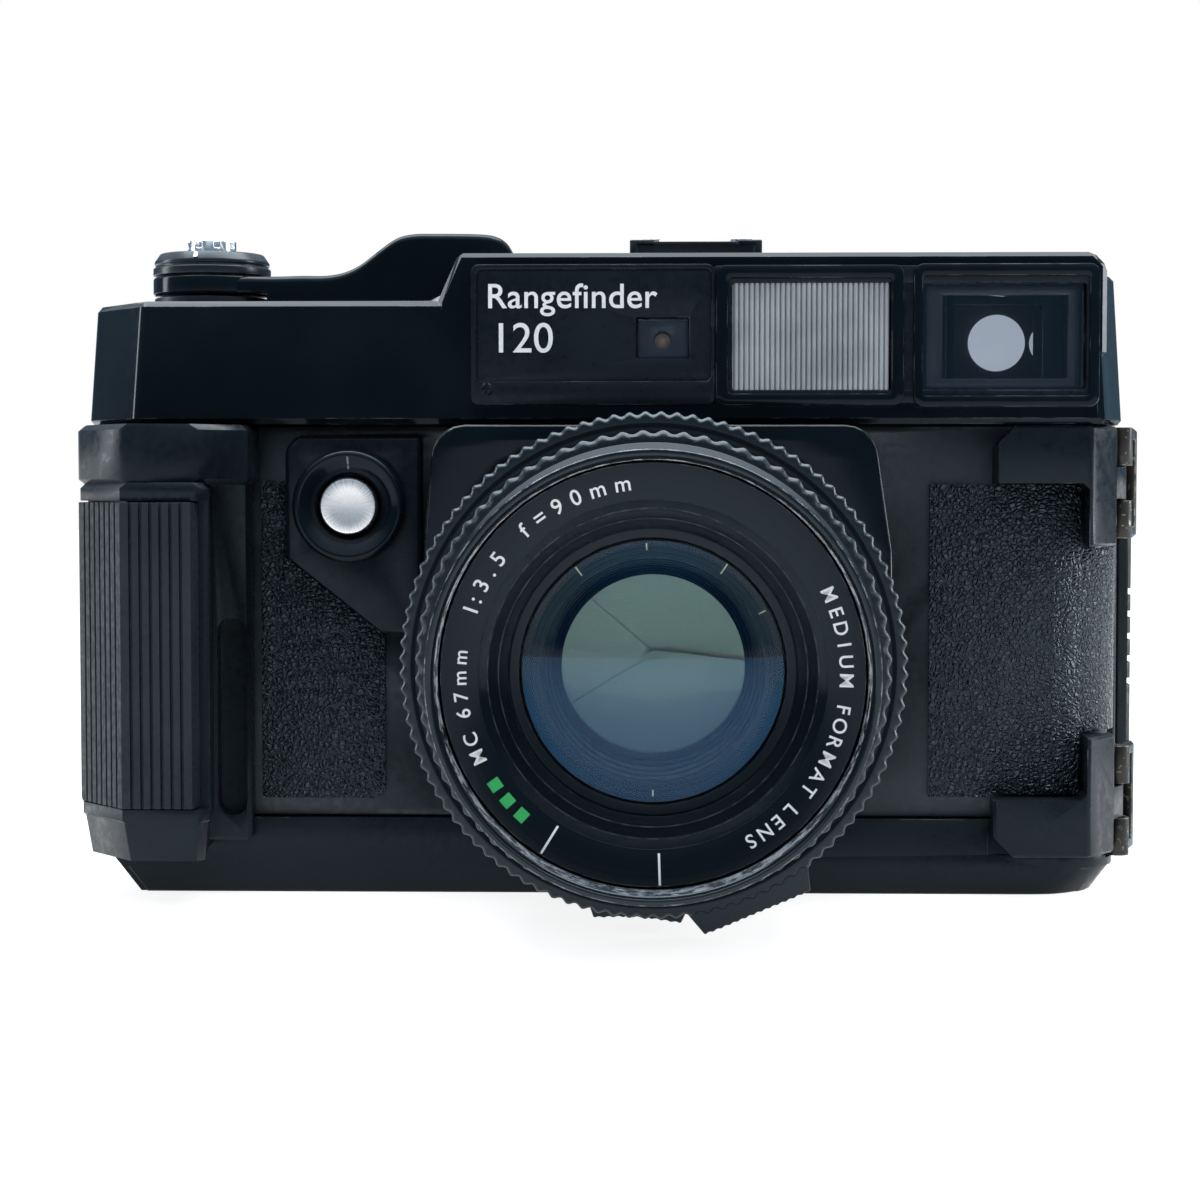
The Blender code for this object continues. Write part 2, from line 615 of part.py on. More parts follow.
def make_lens_board(paint):
    """The square-shouldered boss that the lens stands on."""
    corner = 6.0
    outline = arc((45.9 - corner, FRAME_TOP - corner), corner, 0, 90, 5)
    outline += arc((-33.7 + corner, FRAME_TOP - corner), corner, 90, 180, 5)
    outline += [(-35.2, 62.0), (-36.0, 30.0), (-24.0, 14.5), (36.0, 14.5), (48.8, 30.0), (48.3, 63.4)]
    board = plate("lens_board", [outline], -1.5, FRAME_FRONT - GAP, "Y")
    chamfer(board, 1.2, 50)
    cut(board, rod("bore", 37.4, -10, 20, "Y", (LENS_X, LENS_Z), SIDES))
    return finish(board, paint)


def tab(name, start, end, root, tip, low, high):
    """A finger tab on a ring, its outer edge hollowed; angles run clockwise from the top."""
    outline = []
    for step in range(9):
        t = step / 8
        angle = math.radians(90 - (start + (end - start) * t))
        hollow = 1.1 * math.sin(math.pi * t)
        radius = tip - hollow
        outline.append((LENS_X + radius * math.cos(angle), LENS_Z + radius * math.sin(angle)))
    widen = 5.0
    for step in range(5):
        angle = math.radians(90 - (end + widen - (end - start + 2 * widen) * step / 4))
        outline.append((LENS_X + root * math.cos(angle), LENS_Z + root * math.sin(angle)))
    return plate(name, [outline], low, high, "Y")


def make_rings(black, satin):
    """The fixed mount and the three rings that turn."""
    lens = (LENS_X, LENS_Z)
    mount = turned("outer_helicoid", [(36.6, -1.8), (36.6, -13.9), (40.2, -13.9), (40.2, -1.8)], SIDES, "Y",
                   lens)
    finish(mount, satin)
    focus = turned("focus_ring", [(36.6, -14.2), (36.6, -30.4), (41.0, -30.4), (41.0, -14.2)], SIDES, "Y",
                   lens)
    join(focus, tab("focus_tab", 174, 193, 39.0, 44.3, -29.0, -20.0))
    finish(focus, black, (LENS_X, -22.0, LENS_Z))
    speed = turned("shutter_speed_ring", [(33.5, -31.0), (33.5, -39.6), (SPEED_RADIUS, -39.6),
                                          (SPEED_RADIUS, -31.0)], SIDES, "Y", lens)
    join(speed, tab("speed_tab", 145, 169, 39.0, 44.9, -39.0, -33.0))
    finish(speed, black, (LENS_X, -35.0, LENS_Z))
    aperture = turned("aperture_ring", [(33.5, -39.9), (33.5, -46.0), (APERTURE_RADIUS, -46.0),
                                        (APERTURE_RADIUS, -39.9)], SIDES, "Y", lens)
    finish(aperture, black, (LENS_X, -43.0, LENS_Z))


def make_barrel(black, satin, dark, glass):
    """The barrel that slides when focusing, with its front rings, cells and elements."""
    lens = (LENS_X, LENS_Z)
    front = LENS_FRONT
    barrel = turned("lens_barrel", [(31.5, 8.0), (31.5, -16.4), (15.0, -16.4), (15.0, -18.4),
                                    (29.0, -18.4), (29.0, -47.0), (33.0, -47.0), (33.0, -30.7),
                                    (BARREL_RADIUS, -30.7), (BARREL_RADIUS, 8.0)], SIDES, "Y", lens)
    pins = [math.radians(360 / BLADE_COUNT * k) for k in range(BLADE_COUNT)]
    for angle in pins:
        centre = (LENS_X + BLADE_PIVOT * math.cos(angle), LENS_Z + BLADE_PIVOT * math.sin(angle))
        join(barrel, rod("blade_pin", 0.8, -22.6, -18.0, "Y", centre, 10))
    finish(barrel, satin)
    rim = turned("filter_ring", [(29.2, -47.4), (33.5, -47.4), (33.5, -46.3), (36.4, -46.3),
                                 (36.4, -48.2), (RIM_RADIUS, -50.2),
                                 (RIM_RADIUS, front), (33.7, front), (33.3, -58.2), (33.3, -56.0),
                                 (29.2, -50.4)], SIDES, "Y", lens)
    finish(rim, black)
    name = turned("name_ring", [(33.0, -58.2), (33.0, -56.4), (28.6, -55.2), (23.4, -50.6),
                                (22.8, -51.4), (27.25, -57.2)], SIDES, "Y", lens)
    finish(name, black)
    cell = turned("front_cell", [(28.6, -49.4), (28.6, -45.4), (19.6, -43.0), (15.6, -24.0),
                                 (13.4, -24.0), (17.4, -44.6), (21.2, -44.6), (21.2, -49.8),
                                 (22.6, -50.1)], SIDES, "Y", lens)
    finish(cell, dark)
    dome = cap(20.8, -50.2, -53.0, 3)
    element = turned("front_element", [(0, -53.0)] + dome + [(20.8, -44.9), (0, -47.5)], SIDES, "Y", lens)
    finish(element, glass)
    dome = cap(14.4, -36.2, -37.6, 2)
    inner = turned("middle_element", [(0, -37.6)] + dome + [(14.4, -32.8), (0, -32.8)], 24, "Y", lens)
    finish(inner, glass)
    rear_cell = turned("rear_cell", [(31.1, -16.0), (31.1, -13.0), (18.6, -12.0), (19.8, 7.4), (17.2, 7.4),
                                     (17.2, 1.0), (15.8, 1.0), (15.8, -16.0)], SIDES, "Y", lens)
    finish(rear_cell, dark)
    rear = turned("rear_element", [(0, 1.3), (16.8, 1.3), (16.8, 4.6), (0, 6.2)], 24, "Y", lens)
    finish(rear, glass)


def cap(radius, edge, crown, count):
    """Points down a gently domed face, from near its middle to its edge."""
    points = []
    for step in range(1, count + 1):
        share = step / count
        points.append((radius * share, crown + (edge - crown) * share ** 2))
    return points


def make_shutter(steel):
    """Five blades, each in its own plane, that turn on the barrel's pins to open the pupil."""
    for number in range(BLADE_COUNT):
        turn = 360 / BLADE_COUNT * number
        outline = [(-1.4, -0.8), (13.6, -1.6)]
        outline += arc((BLADE_PIVOT, 0), 2.0, -120, 70, 8)
        for step in range(6):
            share = step / 5
            angle = math.radians(14 + 56 * share)
            radius = 14.6 - 1.0 * share
            outline.append((radius * math.cos(angle), radius * math.sin(angle)))
        outline.append((-1.4, 0.8))
        middle = -19.1 - BLADE_PITCH * number
        blade = plate(f"shutter_blade_{number + 1}", [outline, arc((BLADE_PIVOT, 0), 1.15, 0, 324, 9)],
                      -0.15, 0.15, "Y")
        place_matrix = (Matrix.Translation(Vector((LENS_X, middle, LENS_Z)) * MM)
                        @ Matrix.Rotation(math.radians(-turn), 4, "Y"))
        blade.matrix_world = place_matrix @ blade.matrix_world
        angle = math.radians(turn)
        pivot = (LENS_X + BLADE_PIVOT * math.cos(angle), middle, LENS_Z + BLADE_PIVOT * math.sin(angle))
        finish(blade, steel, pivot)


# ---------------------------------------------------------------- controls on top

def make_lever(paint, black, steel):
    """The film advance lever on its hub, and the release collar and button on the same axis."""
    under = [(-84, 111.2), (-67.2, 111.2), (-67.2, 109.2), (-39.6, 109.2), (-34.0, 112.0),
             (-31.6, 117.6), (-23.6, 117.6), (-21.4, 118.8)]
    over = [(-21.4, 120.2), (-22.6, 122.4), (-25.4, 123.4), (-40.6, 123.4), (-43.6, 122.4),
            (-47.1, 119.9), (-50.3, 117.2), (-53.2, 115.7), (-56.6, 115.0), (-63.0, 115.0),
            (-66.0, HUB_TOP), (-84, HUB_TOP)]
    path = under + over
    arm = plate("advance_lever", [path], 20.0, 46.0, "Y")
    spread = plate("spread", [[(-84, 22.6), (-70, 23.4), (-48, 31.6), (-30, 34.0), (-21.2, 36.5),
                               (-21.2, 41.8), (-30, 44.0), (-46, 42.6), (-70, 41.6), (-84, 42.4)]],
                   100, 130)
    boolean(arm, spread, "INTERSECT")
    hub = turned("hub", [(0, HUB_TOP), (11.2, HUB_TOP), (11.2, 111.0), (0, 111.0)], SIDES, "Z", HUB)
    join(arm, hub)
    shaft = rod("lever_shaft", 5.2, 98.0, 112.0, "Z", HUB, 24)
    join(arm, shaft)
    cut(arm, rod("shaft_bore", 2.9, 90, 130, "Z", HUB, 20))
    finish(arm, paint, (*HUB, 112.0))
    boss = turned("lever_boss", [(5.9, LOW_TOP + GAP), (5.9, 110.6), (11.0, 110.6), (11.0, LOW_TOP + GAP)],
                  SIDES, "Z", HUB)
    finish(boss, black)
    cap_low = HUB_TOP + GAP
    disc = turned("lever_cap", [(4.9, cap_low), (4.9, 119.1), (9.8, 119.1), (11.2, 117.0), (11.2, cap_low)],
                  SIDES, "Z", HUB)
    finish(disc, black, (*HUB, 117.0))
    collar = turned("release_lock_ring", [(2.9, 116.6), (2.9, 121.6), (4.6, 121.6), (4.6, 116.6)], 24, "Z",
                    HUB)
    for step in range(8):
        angle = math.radians(22.5 + 45 * step)
        notch = block("notch", (3.6, -0.6, 120.2), (6.0, 0.6, 123))
        notch.matrix_world = (Matrix.Translation(Vector((*HUB, 0)) * MM)
                              @ Matrix.Rotation(angle, 4, "Z") @ notch.matrix_world)
        cut(collar, notch)
    finish(collar, steel, (*HUB, 119.0))
    button = turned("top_release_button", [(0, 121.2), (1.9, 121.2), (2.5, 120.8), (2.5, 110.0),
                                           (0, 110.0)], 16, "Z", HUB)
    finish(button, black, (*HUB, 120.0))


# ---------------------------------------------------------------- back and film path

def make_back(paint, skin, plastic, steel):
    """The door on its hinge pin, its leatherette, memo holder, latch and pressure plate."""
    low, high = BASE_TOP + 0.6, FRAME_TOP
    plan = [(DOOR_LEFT, DOOR_INSIDE), (DOOR_RIGHT - 3.0, DOOR_INSIDE), (DOOR_RIGHT - 3.0, 39.0),
            (DOOR_RIGHT, 39.0), (DOOR_RIGHT, DOOR_OUTSIDE - 1.6), (DOOR_RIGHT - 1.6, DOOR_OUTSIDE),
            (DOOR_LEFT, DOOR_OUTSIDE)]
    door = plate("back_door", [plan], low, high)
    chamfer(door, 0.6, 50)
    join(door, block("web", (HINGE[0], DOOR_INSIDE + 0.4, 25.2), (DOOR_LEFT + 2, HINGE[1] + 1.6, 74.8)))
    join(door, rod("knuckle", 2.6, 25.2, 74.8, "Z", HINGE, 20))
    cut(door, rod("pin_hole", 1.5, 0, 100, "Z", HINGE, 16))
    panel = rectangle(DOOR_LEFT + 5, DOOR_RIGHT - 5, low + 3.4, high - 3.4)
    cut(door, plate("panel", [panel], DOOR_OUTSIDE - 0.7, DOOR_OUTSIDE + 3, "Y"))
    finish(door, paint, (*HINGE, 50.0))
    inset = GAP
    leather = plate("back_leather", [rectangle(DOOR_LEFT + 5 + inset, DOOR_RIGHT - 5 - inset,
                                               low + 3.4 + inset, high - 3.4 - inset)],
                    DOOR_OUTSIDE - 0.4, DOOR_OUTSIDE + 0.5, "Y")
    finish(leather, skin)
    holder = block("memo_holder", (-22.0, DOOR_OUTSIDE + 0.8, 27.0), (34.0, DOOR_OUTSIDE + 3.2, 70.0))
    chamfer(holder, 0.7)
    cut(holder, block("slot", (-19.0, DOOR_OUTSIDE + 1.7, 29.6), (31.0, DOOR_OUTSIDE + 2.3, 80.0)))
    cut(holder, block("view", (-16.0, DOOR_OUTSIDE + 2.0, 33.0), (28.0, DOOR_OUTSIDE + 6, 80.0)))
    finish(holder, plastic)
    latch = block("door_latch", (DOOR_RIGHT + GAP, 44.0, 6.0), (BOX_RIGHT, 53.0, 75.6))
    chamfer(latch, 0.9)
    for step in range(5):
        z = 36.0 + 4.4 * step
        cut(latch, block("rib", (BOX_RIGHT - 0.7, 30, z), (105, 60, z + 1.2)))
    finish(latch, plastic, (98.0, 45.0, 45.0))
    plate_low = LENS_Z - 31.5
    pressure = block("pressure_plate", (-39.0, 51.4, plate_low), (51.0, 52.9, plate_low + 63.0))
    chamfer(pressure, 0.4)
    finish(pressure, steel, (LENS_X, 52.0, LENS_Z))
    bow = [(-30, 55.5), (-24, 55.5), (LENS_X, 54.4), (36, 55.5), (42, 55.5), (42, 55.9), (36, 55.9),
           (LENS_X, 54.8), (-24, 55.9), (-30, 55.9)]
    spring = plate("pressure_spring", [bow], LENS_Z - 10, LENS_Z + 10)
    finish(spring, steel)
    pin = rod("door_hinge_pin", 1.2, BASE_TOP + 1.6, 83.6, "Z", HINGE, 16)
    finish(pin, steel)


def spool(name, centre, look):
    """A film spool: a core with a key slot across each end and two flanges."""
    low = LENS_Z - SPOOL_LENGTH / 2
    high = LENS_Z + SPOOL_LENGTH / 2
    profile = [(0, low + 5), (3.0, low + 5), (3.0, low), (SPOOL_RADIUS, low), (SPOOL_RADIUS, low + 0.9),
               (5.6, low + 1.2), (5.6, high - 1.2), (SPOOL_RADIUS, high - 0.9), (SPOOL_RADIUS, high),
               (3.0, high), (3.0, high - 5), (0, high - 5)]
    body = turned(name, profile[::-1], 20, "Z", centre)
    for start in (low - 1, high - 4):
        cut(body, block("key_slot", (centre[0] - 0.7, centre[1] - 4.8, start),
                        (centre[0] + 0.7, centre[1] + 4.8, start + 5)))
    return finish(body, look, (*centre, LENS_Z))


def make_film_path(plastic):
    """The two film spools."""
    spool("take_up_spool", TAKE_UP, plastic)
    spool("feed_spool", FEED, plastic)


# ---------------------------------------------------------------- assembly

def main():
    clear_scene()
    gloss = material("gloss_black_paint", (0.012, 0.013, 0.018), 0.22)
    satin = material("satin_black_paint", (0.025, 0.025, 0.028), 0.42)
    dark = material("matt_black", (0.010, 0.010, 0.011), 0.6)
    anodised = material("black_anodised", (0.020, 0.020, 0.024), 0.35, 0.8)
    alloy = material("bare_alloy", (0.45, 0.45, 0.47), 0.4, 1.0)
    steel = material("steel", (0.60, 0.60, 0.61), 0.28, 1.0)
    brass = material("worn_brass", (0.42, 0.34, 0.22), 0.38, 1.0)
    skin = material("leatherette", (0.018, 0.018, 0.020), 0.6)
    rubber = material("black_rubber", (0.016, 0.016, 0.017), 0.75)
    plastic = material("black_plastic", (0.020, 0.020, 0.022), 0.5)
    glass = material("coated_glass", (0.55, 0.68, 0.66), 0.05)
    pale = material("pale_ribbed_plastic", (0.74, 0.75, 0.74), 0.4)
    mirror = material("mirror", (0.85, 0.85, 0.87), 0.04, 1.0)

    make_frame(alloy)
    make_bottom_cover(satin)
    make_tripod_socket(steel)
    make_top_cover(gloss)
    make_bezel(satin, glass, pale, steel)
    make_finder_optics(glass, mirror, dark)
    make_shoe(dark, steel)
    make_grip(plastic, rubber)
    make_leather(skin)
    make_release(satin, gloss, steel)
    for which, height in LUG_HEIGHTS.items():
        make_lug(which, height, satin, steel, brass)
    make_lens_board(satin)
    make_rings(anodised, satin)
    make_barrel(anodised, satin, dark, glass)
    make_shutter(satin)
    make_lever(gloss, anodised, steel)
    make_back(satin, skin, plastic, steel)
    make_film_path(plastic)


main()
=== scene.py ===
"""The looks of the press camera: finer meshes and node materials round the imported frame."""
import math

import bmesh
import bpy
from mathutils import Matrix, Vector


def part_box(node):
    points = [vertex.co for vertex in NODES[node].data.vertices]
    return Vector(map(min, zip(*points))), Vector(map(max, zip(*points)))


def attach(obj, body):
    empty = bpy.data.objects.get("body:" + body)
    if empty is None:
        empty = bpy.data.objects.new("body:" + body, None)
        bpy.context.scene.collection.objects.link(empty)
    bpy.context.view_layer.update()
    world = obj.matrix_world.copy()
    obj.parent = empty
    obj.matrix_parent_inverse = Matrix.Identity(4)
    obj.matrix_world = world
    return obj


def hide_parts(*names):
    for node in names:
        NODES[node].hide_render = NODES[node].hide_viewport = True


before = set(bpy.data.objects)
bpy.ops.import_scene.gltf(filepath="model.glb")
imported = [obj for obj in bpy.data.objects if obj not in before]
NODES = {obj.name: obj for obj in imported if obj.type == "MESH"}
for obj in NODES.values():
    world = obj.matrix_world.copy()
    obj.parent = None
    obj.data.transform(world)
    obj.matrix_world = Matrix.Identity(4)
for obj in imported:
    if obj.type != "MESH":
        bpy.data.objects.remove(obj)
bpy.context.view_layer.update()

MM = 0.001


def size_of(node):
    """A CAD node's low and high corners in millimetres."""
    low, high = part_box(node)
    return low / MM, high / MM


# Places and sizes, in millimetres, read from the frame.
BARREL_LOW, BARREL_HIGH = size_of("filter_ring")
LENS_X = (BARREL_LOW.x + BARREL_HIGH.x) / 2
LENS_Z = (BARREL_LOW.z + BARREL_HIGH.z) / 2
LENS = (LENS_X, LENS_Z)
LENS_FRONT = BARREL_LOW.y
CAP_LOW, CAP_HIGH = size_of("lever_cap")
HUB = ((CAP_LOW.x + CAP_HIGH.x) / 2, (CAP_LOW.y + CAP_HIGH.y) / 2)
BUTTON_LOW, BUTTON_HIGH = size_of("front_release_button")
RELEASE = ((BUTTON_LOW.x + BUTTON_HIGH.x) / 2, (BUTTON_LOW.z + BUTTON_HIGH.z) / 2)
FIELD_LENS = (72.6, 102.9)    # X and Z of the small lens inside the finder
AXIS_GAP = 0.02               # radius of the flat that closes a solid of revolution at its axis
PAINT = 0.04                  # thickness of an engraved and filled mark


# ---- camera, lights and floor

EYE = (7.1, -429.5, 74.1)     # the viewpoint
YAW_DEG = 1.43                # turned to the left
PITCH_DEG = 2.62              # and down
FOCAL_MM = 72.1
FLOOR_GREY = (0.30, 0.30, 0.30, 1)
FLOOR_GLOW = 0.86
BACKDROP = (1.0, 1.0, 1.0, 1)
ROOM_BELOW = (0.10, 0.17, 0.24, 1)       # what reflections see round the object
ROOM_ABOVE = (1.5, 1.65, 1.8, 1)         # and overhead
ROOM_BRIGHTENS = (0.22, 0.85)            # heights between which it grows bright


def make_camera():
    """The view that the picture was taken from."""
    data = bpy.data.cameras.new("view_camera")
    data.lens = FOCAL_MM
    data.sensor_width = 36.0
    camera = bpy.data.objects.new("view_camera", data)
    camera.location = Vector(EYE) * MM
    camera.rotation_euler = (math.radians(90 - PITCH_DEG), 0, math.radians(YAW_DEG))
    data.clip_start = 0.01
    bpy.context.scene.collection.objects.link(camera)
    bpy.context.scene.camera = camera


def area_light(name, place_mm, target_mm, width_mm, height_mm, watts):
    data = bpy.data.lights.new(name, "AREA")
    data.shape = "RECTANGLE"
    data.size = width_mm * MM
    data.size_y = height_mm * MM
    data.energy = watts
    light = bpy.data.objects.new(name, data)
    light.location = Vector(place_mm) * MM
    aim = Vector(target_mm) - Vector(place_mm)
    light.rotation_euler = aim.to_track_quat("-Z", "Y").to_euler()
    bpy.context.scene.collection.objects.link(light)


def make_stage():
    """A white floor, and the sky round it."""
    floor = bpy.data.meshes.new("floor")
    work = bmesh.new()
    bmesh.ops.create_grid(work, x_segments=1, y_segments=1, size=4.0)
    work.to_mesh(floor)
    work.free()
    obj = bpy.data.objects.new("floor", floor)
    bpy.context.scene.collection.objects.link(obj)
    white = bpy.data.materials.new("floor_white")
    white.use_nodes = True
    shader = white.node_tree.nodes["Principled BSDF"]
    shader.inputs["Base Color"].default_value = FLOOR_GREY
    shader.inputs["Roughness"].default_value = 0.8
    shader.inputs["Specular IOR Level"].default_value = 0.1
    shader.inputs["Emission Color"].default_value = BACKDROP
    shader.inputs["Emission Strength"].default_value = FLOOR_GLOW
    floor.materials.append(white)
    make_sky()
    bpy.context.scene.view_settings.view_transform = "Standard"


def make_sky():
    """A white backdrop, with a dim room round the object that grows bright overhead."""
    world = bpy.data.worlds.new("soft_sky")
    world.use_nodes = True
    nodes = world.node_tree.nodes
    join = world.node_tree.links.new
    backdrop = nodes["Background"]
    backdrop.inputs["Color"].default_value = BACKDROP
    room = nodes.new("ShaderNodeBackground")
    where = nodes.new("ShaderNodeTexCoord")
    split = nodes.new("ShaderNodeSeparateXYZ")
    rise = nodes.new("ShaderNodeMapRange")
    rise.interpolation_type = "SMOOTHSTEP"
    rise.inputs["From Min"].default_value, rise.inputs["From Max"].default_value = ROOM_BRIGHTENS
    tone = nodes.new("ShaderNodeMix")
    tone.data_type = "RGBA"
    tone.inputs[6].default_value = ROOM_BELOW
    tone.inputs[7].default_value = ROOM_ABOVE
    path = nodes.new("ShaderNodeLightPath")
    mix = nodes.new("ShaderNodeMixShader")
    join(where.outputs["Generated"], split.inputs[0])
    join(split.outputs["Z"], rise.inputs["Value"])
    join(rise.outputs["Result"], tone.inputs[0])
    join(tone.outputs[2], room.inputs["Color"])
    join(path.outputs["Is Camera Ray"], mix.inputs[0])
    join(room.outputs[0], mix.inputs[1])
    join(backdrop.outputs[0], mix.inputs[2])
    join(mix.outputs[0], nodes["World Output"].inputs["Surface"])
    bpy.context.scene.world = world


def make_lights():
    area_light("top_box", (0, 60, 700), (0, 0, 60), 900, 420, 11.0)
    area_light("left_strip", (-520, 60, 150), (-60, 10, 60), 100, 420, 1.2)
    area_light("right_strip", (520, 60, 150), (60, 10, 60), 100, 420, 2.0)


# ---- mesh helpers

def link(name, mesh, matrix=None):
    obj = bpy.data.objects.new(name, mesh)
    obj.matrix_world = matrix or Matrix()
    bpy.context.scene.collection.objects.link(obj)
    return obj


def smooth(obj, angle=32):
    obj.data.shade_smooth()
    obj.data.set_sharp_from_angle(angle=math.radians(angle))
    return obj


def from_bmesh(name, work, matrix=None):
    bmesh.ops.recalc_face_normals(work, faces=work.faces)
    mesh = bpy.data.meshes.new(name)
    work.to_mesh(mesh)
    work.free()
    return smooth(link(name, mesh, matrix))


def round_profile(points, radius, steps=3):
    """Replaces each corner of a closed outline by a small arc; radius 0 keeps the corner."""
    count = len(points)
    rounded = []
    for index, point in enumerate(points):
        here = Vector(point[:2])
        wanted = point[2] if len(point) > 2 else radius
        before = Vector(points[index - 1][:2]) - here
        after = Vector(points[(index + 1) % count][:2]) - here
        reach = min(wanted, before.length * 0.45, after.length * 0.45)
        if reach < 0.01:
            rounded.append(here)
            continue
        start = here + before.normalized() * reach
        end = here + after.normalized() * reach
        for step in range(steps + 1):
            t = step / steps
            rounded.append(start * (1 - t) ** 2 + here * 2 * t * (1 - t) + end * t ** 2)
    return rounded


LENS_TURN = Matrix.Rotation(-math.pi / 2, 4, "X")


def turned(name, profile, centre, axis="Y", steps=128, radius=0.25, origin=0.0, solid=False, wobble=None):
    """A closed profile of (radius, height) points turned round an axis.

    wobble(angle, r) may give another radius, for knurls and scallops.  The object's origin
    is on the axis at the height called origin.
    """
    points = [Vector(p[:2]) for p in profile] if radius == 0 else round_profile(profile, radius)
    work = bmesh.new()
    rings = []
    for step in range(steps):
        angle = 2 * math.pi * step / steps
        ring = []
        for r, h in points:
            reach = wobble(angle, r) if wobble else r
            ring.append(work.verts.new((reach * math.cos(angle) * MM, reach * math.sin(angle) * MM,
                                        (h - origin) * MM)))
        rings.append(ring)
    count = len(points)
    for step in range(steps):
        ring, following = rings[step], rings[(step + 1) % steps]
        for index in range(count if not solid else count - 1):
            after = (index + 1) % count
            work.faces.new((ring[index], following[index], following[after], ring[after]))
    if solid:
        for end in (0, count - 1):
            work.faces.new([ring[end] for ring in rings])
    if axis == "Y":
        matrix = Matrix.Translation(Vector((centre[0], origin, centre[1])) * MM) @ LENS_TURN
    else:
        matrix = Matrix.Translation(Vector((centre[0], centre[1], origin)) * MM)
    return from_bmesh(name, work, matrix)


def prism(name, outline, start, end, axis="Z"):
    """A closed outline with a thickness; outlines are (x, y) or (x, z) in millimetres."""
    work = bmesh.new()

    def corner(point, height):
        place = (point[0], point[1], height) if axis == "Z" else (point[0], height, point[1])
        return Vector(place) * MM

    low = [work.verts.new(corner(p, start)) for p in outline]
    high = [work.verts.new(corner(p, end)) for p in outline]
    work.faces.new(low)
    work.faces.new(high)
    count = len(outline)
    for index in range(count):
        after = (index + 1) % count
        work.faces.new((low[index], low[after], high[after], high[index]))
    return from_bmesh(name, work)


def plaque(name, width, length, thickness=PAINT):
    """A small flat rectangle about its own middle."""
    x, y = width / 2, length / 2
    return prism(name, [(-x, -y), (x, -y), (x, y), (-x, y)], 0.0, thickness)


def bevelled(obj, width, segments=2, angle=32):
    """Rounds sharp edges with a modifier, with normals that keep flat faces flat."""
    bevel = obj.modifiers.new("soft_edges", "BEVEL")
    bevel.width = width * MM
    bevel.segments = segments
    bevel.limit_method = "ANGLE"
    bevel.angle_limit = math.radians(angle)
    bevel.harden_normals = True
    bevel.miter_outer = "MITER_ARC"
    return obj


def soften(node, width=0.3, segments=2, angle=30):
    """Rounds a CAD node's edges, without touching its mesh."""
    obj = NODES[node]
    weld = obj.modifiers.new("join_facets", "WELD")
    weld.merge_threshold = 0.00001
    obj.data.shade_smooth()
    return bevelled(obj, width, segments, angle)


# ---- materials

class Look:
    """A Principled material and short calls that add procedural nodes to it."""

    def __init__(self, name, colour, roughness, metallic=0.0):
        self.material = bpy.data.materials.new(name)
        self.material.use_nodes = True
        self.nodes = self.material.node_tree.nodes
        self.links = self.material.node_tree.links
        self.shader = self.nodes["Principled BSDF"]
        self.set("Base Color", (*colour, 1))
        self.set("Roughness", roughness)
        self.set("Metallic", metallic)
        self.set("Specular Tint", (0.72, 0.88, 1.0, 1))
        self.where = self.nodes.new("ShaderNodeTexCoord").outputs["Object"]

    def set(self, socket, value):
        self.shader.inputs[socket].default_value = value

    def join(self, output, target):
        self.links.new(output, target)

    def noise(self, scale, detail=3.0, rough=0.5, where=None):
        node = self.nodes.new("ShaderNodeTexNoise")
        node.inputs["Scale"].default_value = scale
        node.inputs["Detail"].default_value = detail
        node.inputs["Roughness"].default_value = rough
        self.join(where or self.where, node.inputs["Vector"])
        return node.outputs["Fac"]

    def cells(self, scale, feature, where):
        node = self.nodes.new("ShaderNodeTexVoronoi")
        node.feature = feature
        node.inputs["Scale"].default_value = scale
        self.join(where, node.inputs["Vector"])
        return node.outputs["Distance"]

    def ramp(self, source, low, high, to_low=0.0, to_high=1.0):
        """A smooth step from to_low to to_high, as source goes from low to high."""
        node = self.nodes.new("ShaderNodeMapRange")
        node.interpolation_type = "SMOOTHSTEP"
        for key, value in (("From Min", low), ("From Max", high), ("To Min", to_low), ("To Max", to_high)):
            node.inputs[key].default_value = value
        self.join(source, node.inputs["Value"])
        return node.outputs["Result"]

    def sum(self, first, second, operation="ADD"):
        """Two sockets or numbers, added or joined by another operation."""
        node = self.nodes.new("ShaderNodeMath")
        node.operation = operation
        for index, value in enumerate((first, second)):
            if isinstance(value, (int, float)):
                node.inputs[index].default_value = value
            else:
                self.join(value, node.inputs[index])
        return node.outputs["Value"]

    def mix(self, share, first, second):
        """A colour between two, as share goes from 0 to 1; each may be a colour or a socket."""
        node = self.nodes.new("ShaderNodeMix")
        node.data_type = "RGBA"
        self.join(share, node.inputs[0])
        for index, value in ((6, first), (7, second)):
            if isinstance(value, tuple):
                node.inputs[index].default_value = (*value, 1)
            else:
                self.join(value, node.inputs[index])
        return node.outputs[2]

    def bump(self, height, distance_mm, strength=1.0):
        node = self.nodes.new("ShaderNodeBump")
        node.inputs["Strength"].default_value = strength
        node.inputs["Distance"].default_value = distance_mm * MM
        self.join(height, node.inputs["Height"])
        self.join(node.outputs["Normal"], self.shader.inputs["Normal"])

    def edge(self, width_mm):
        """1 on sharp edges and 0 away from them."""
        soft = self.nodes.new("ShaderNodeBevel")
        soft.samples = 6
        soft.inputs["Radius"].default_value = width_mm * MM
        true = self.nodes.new("ShaderNodeNewGeometry")
        compare = self.nodes.new("ShaderNodeVectorMath")
        compare.operation = "DOT_PRODUCT"
        self.join(soft.outputs["Normal"], compare.inputs[0])
        self.join(true.outputs["Normal"], compare.inputs[1])
        return self.ramp(compare.outputs["Value"], 0.995, 0.90)

    def colour(self, socket):
        self.join(socket, self.shader.inputs["Base Color"])

    def roughness(self, socket):
        self.join(socket, self.shader.inputs["Roughness"])


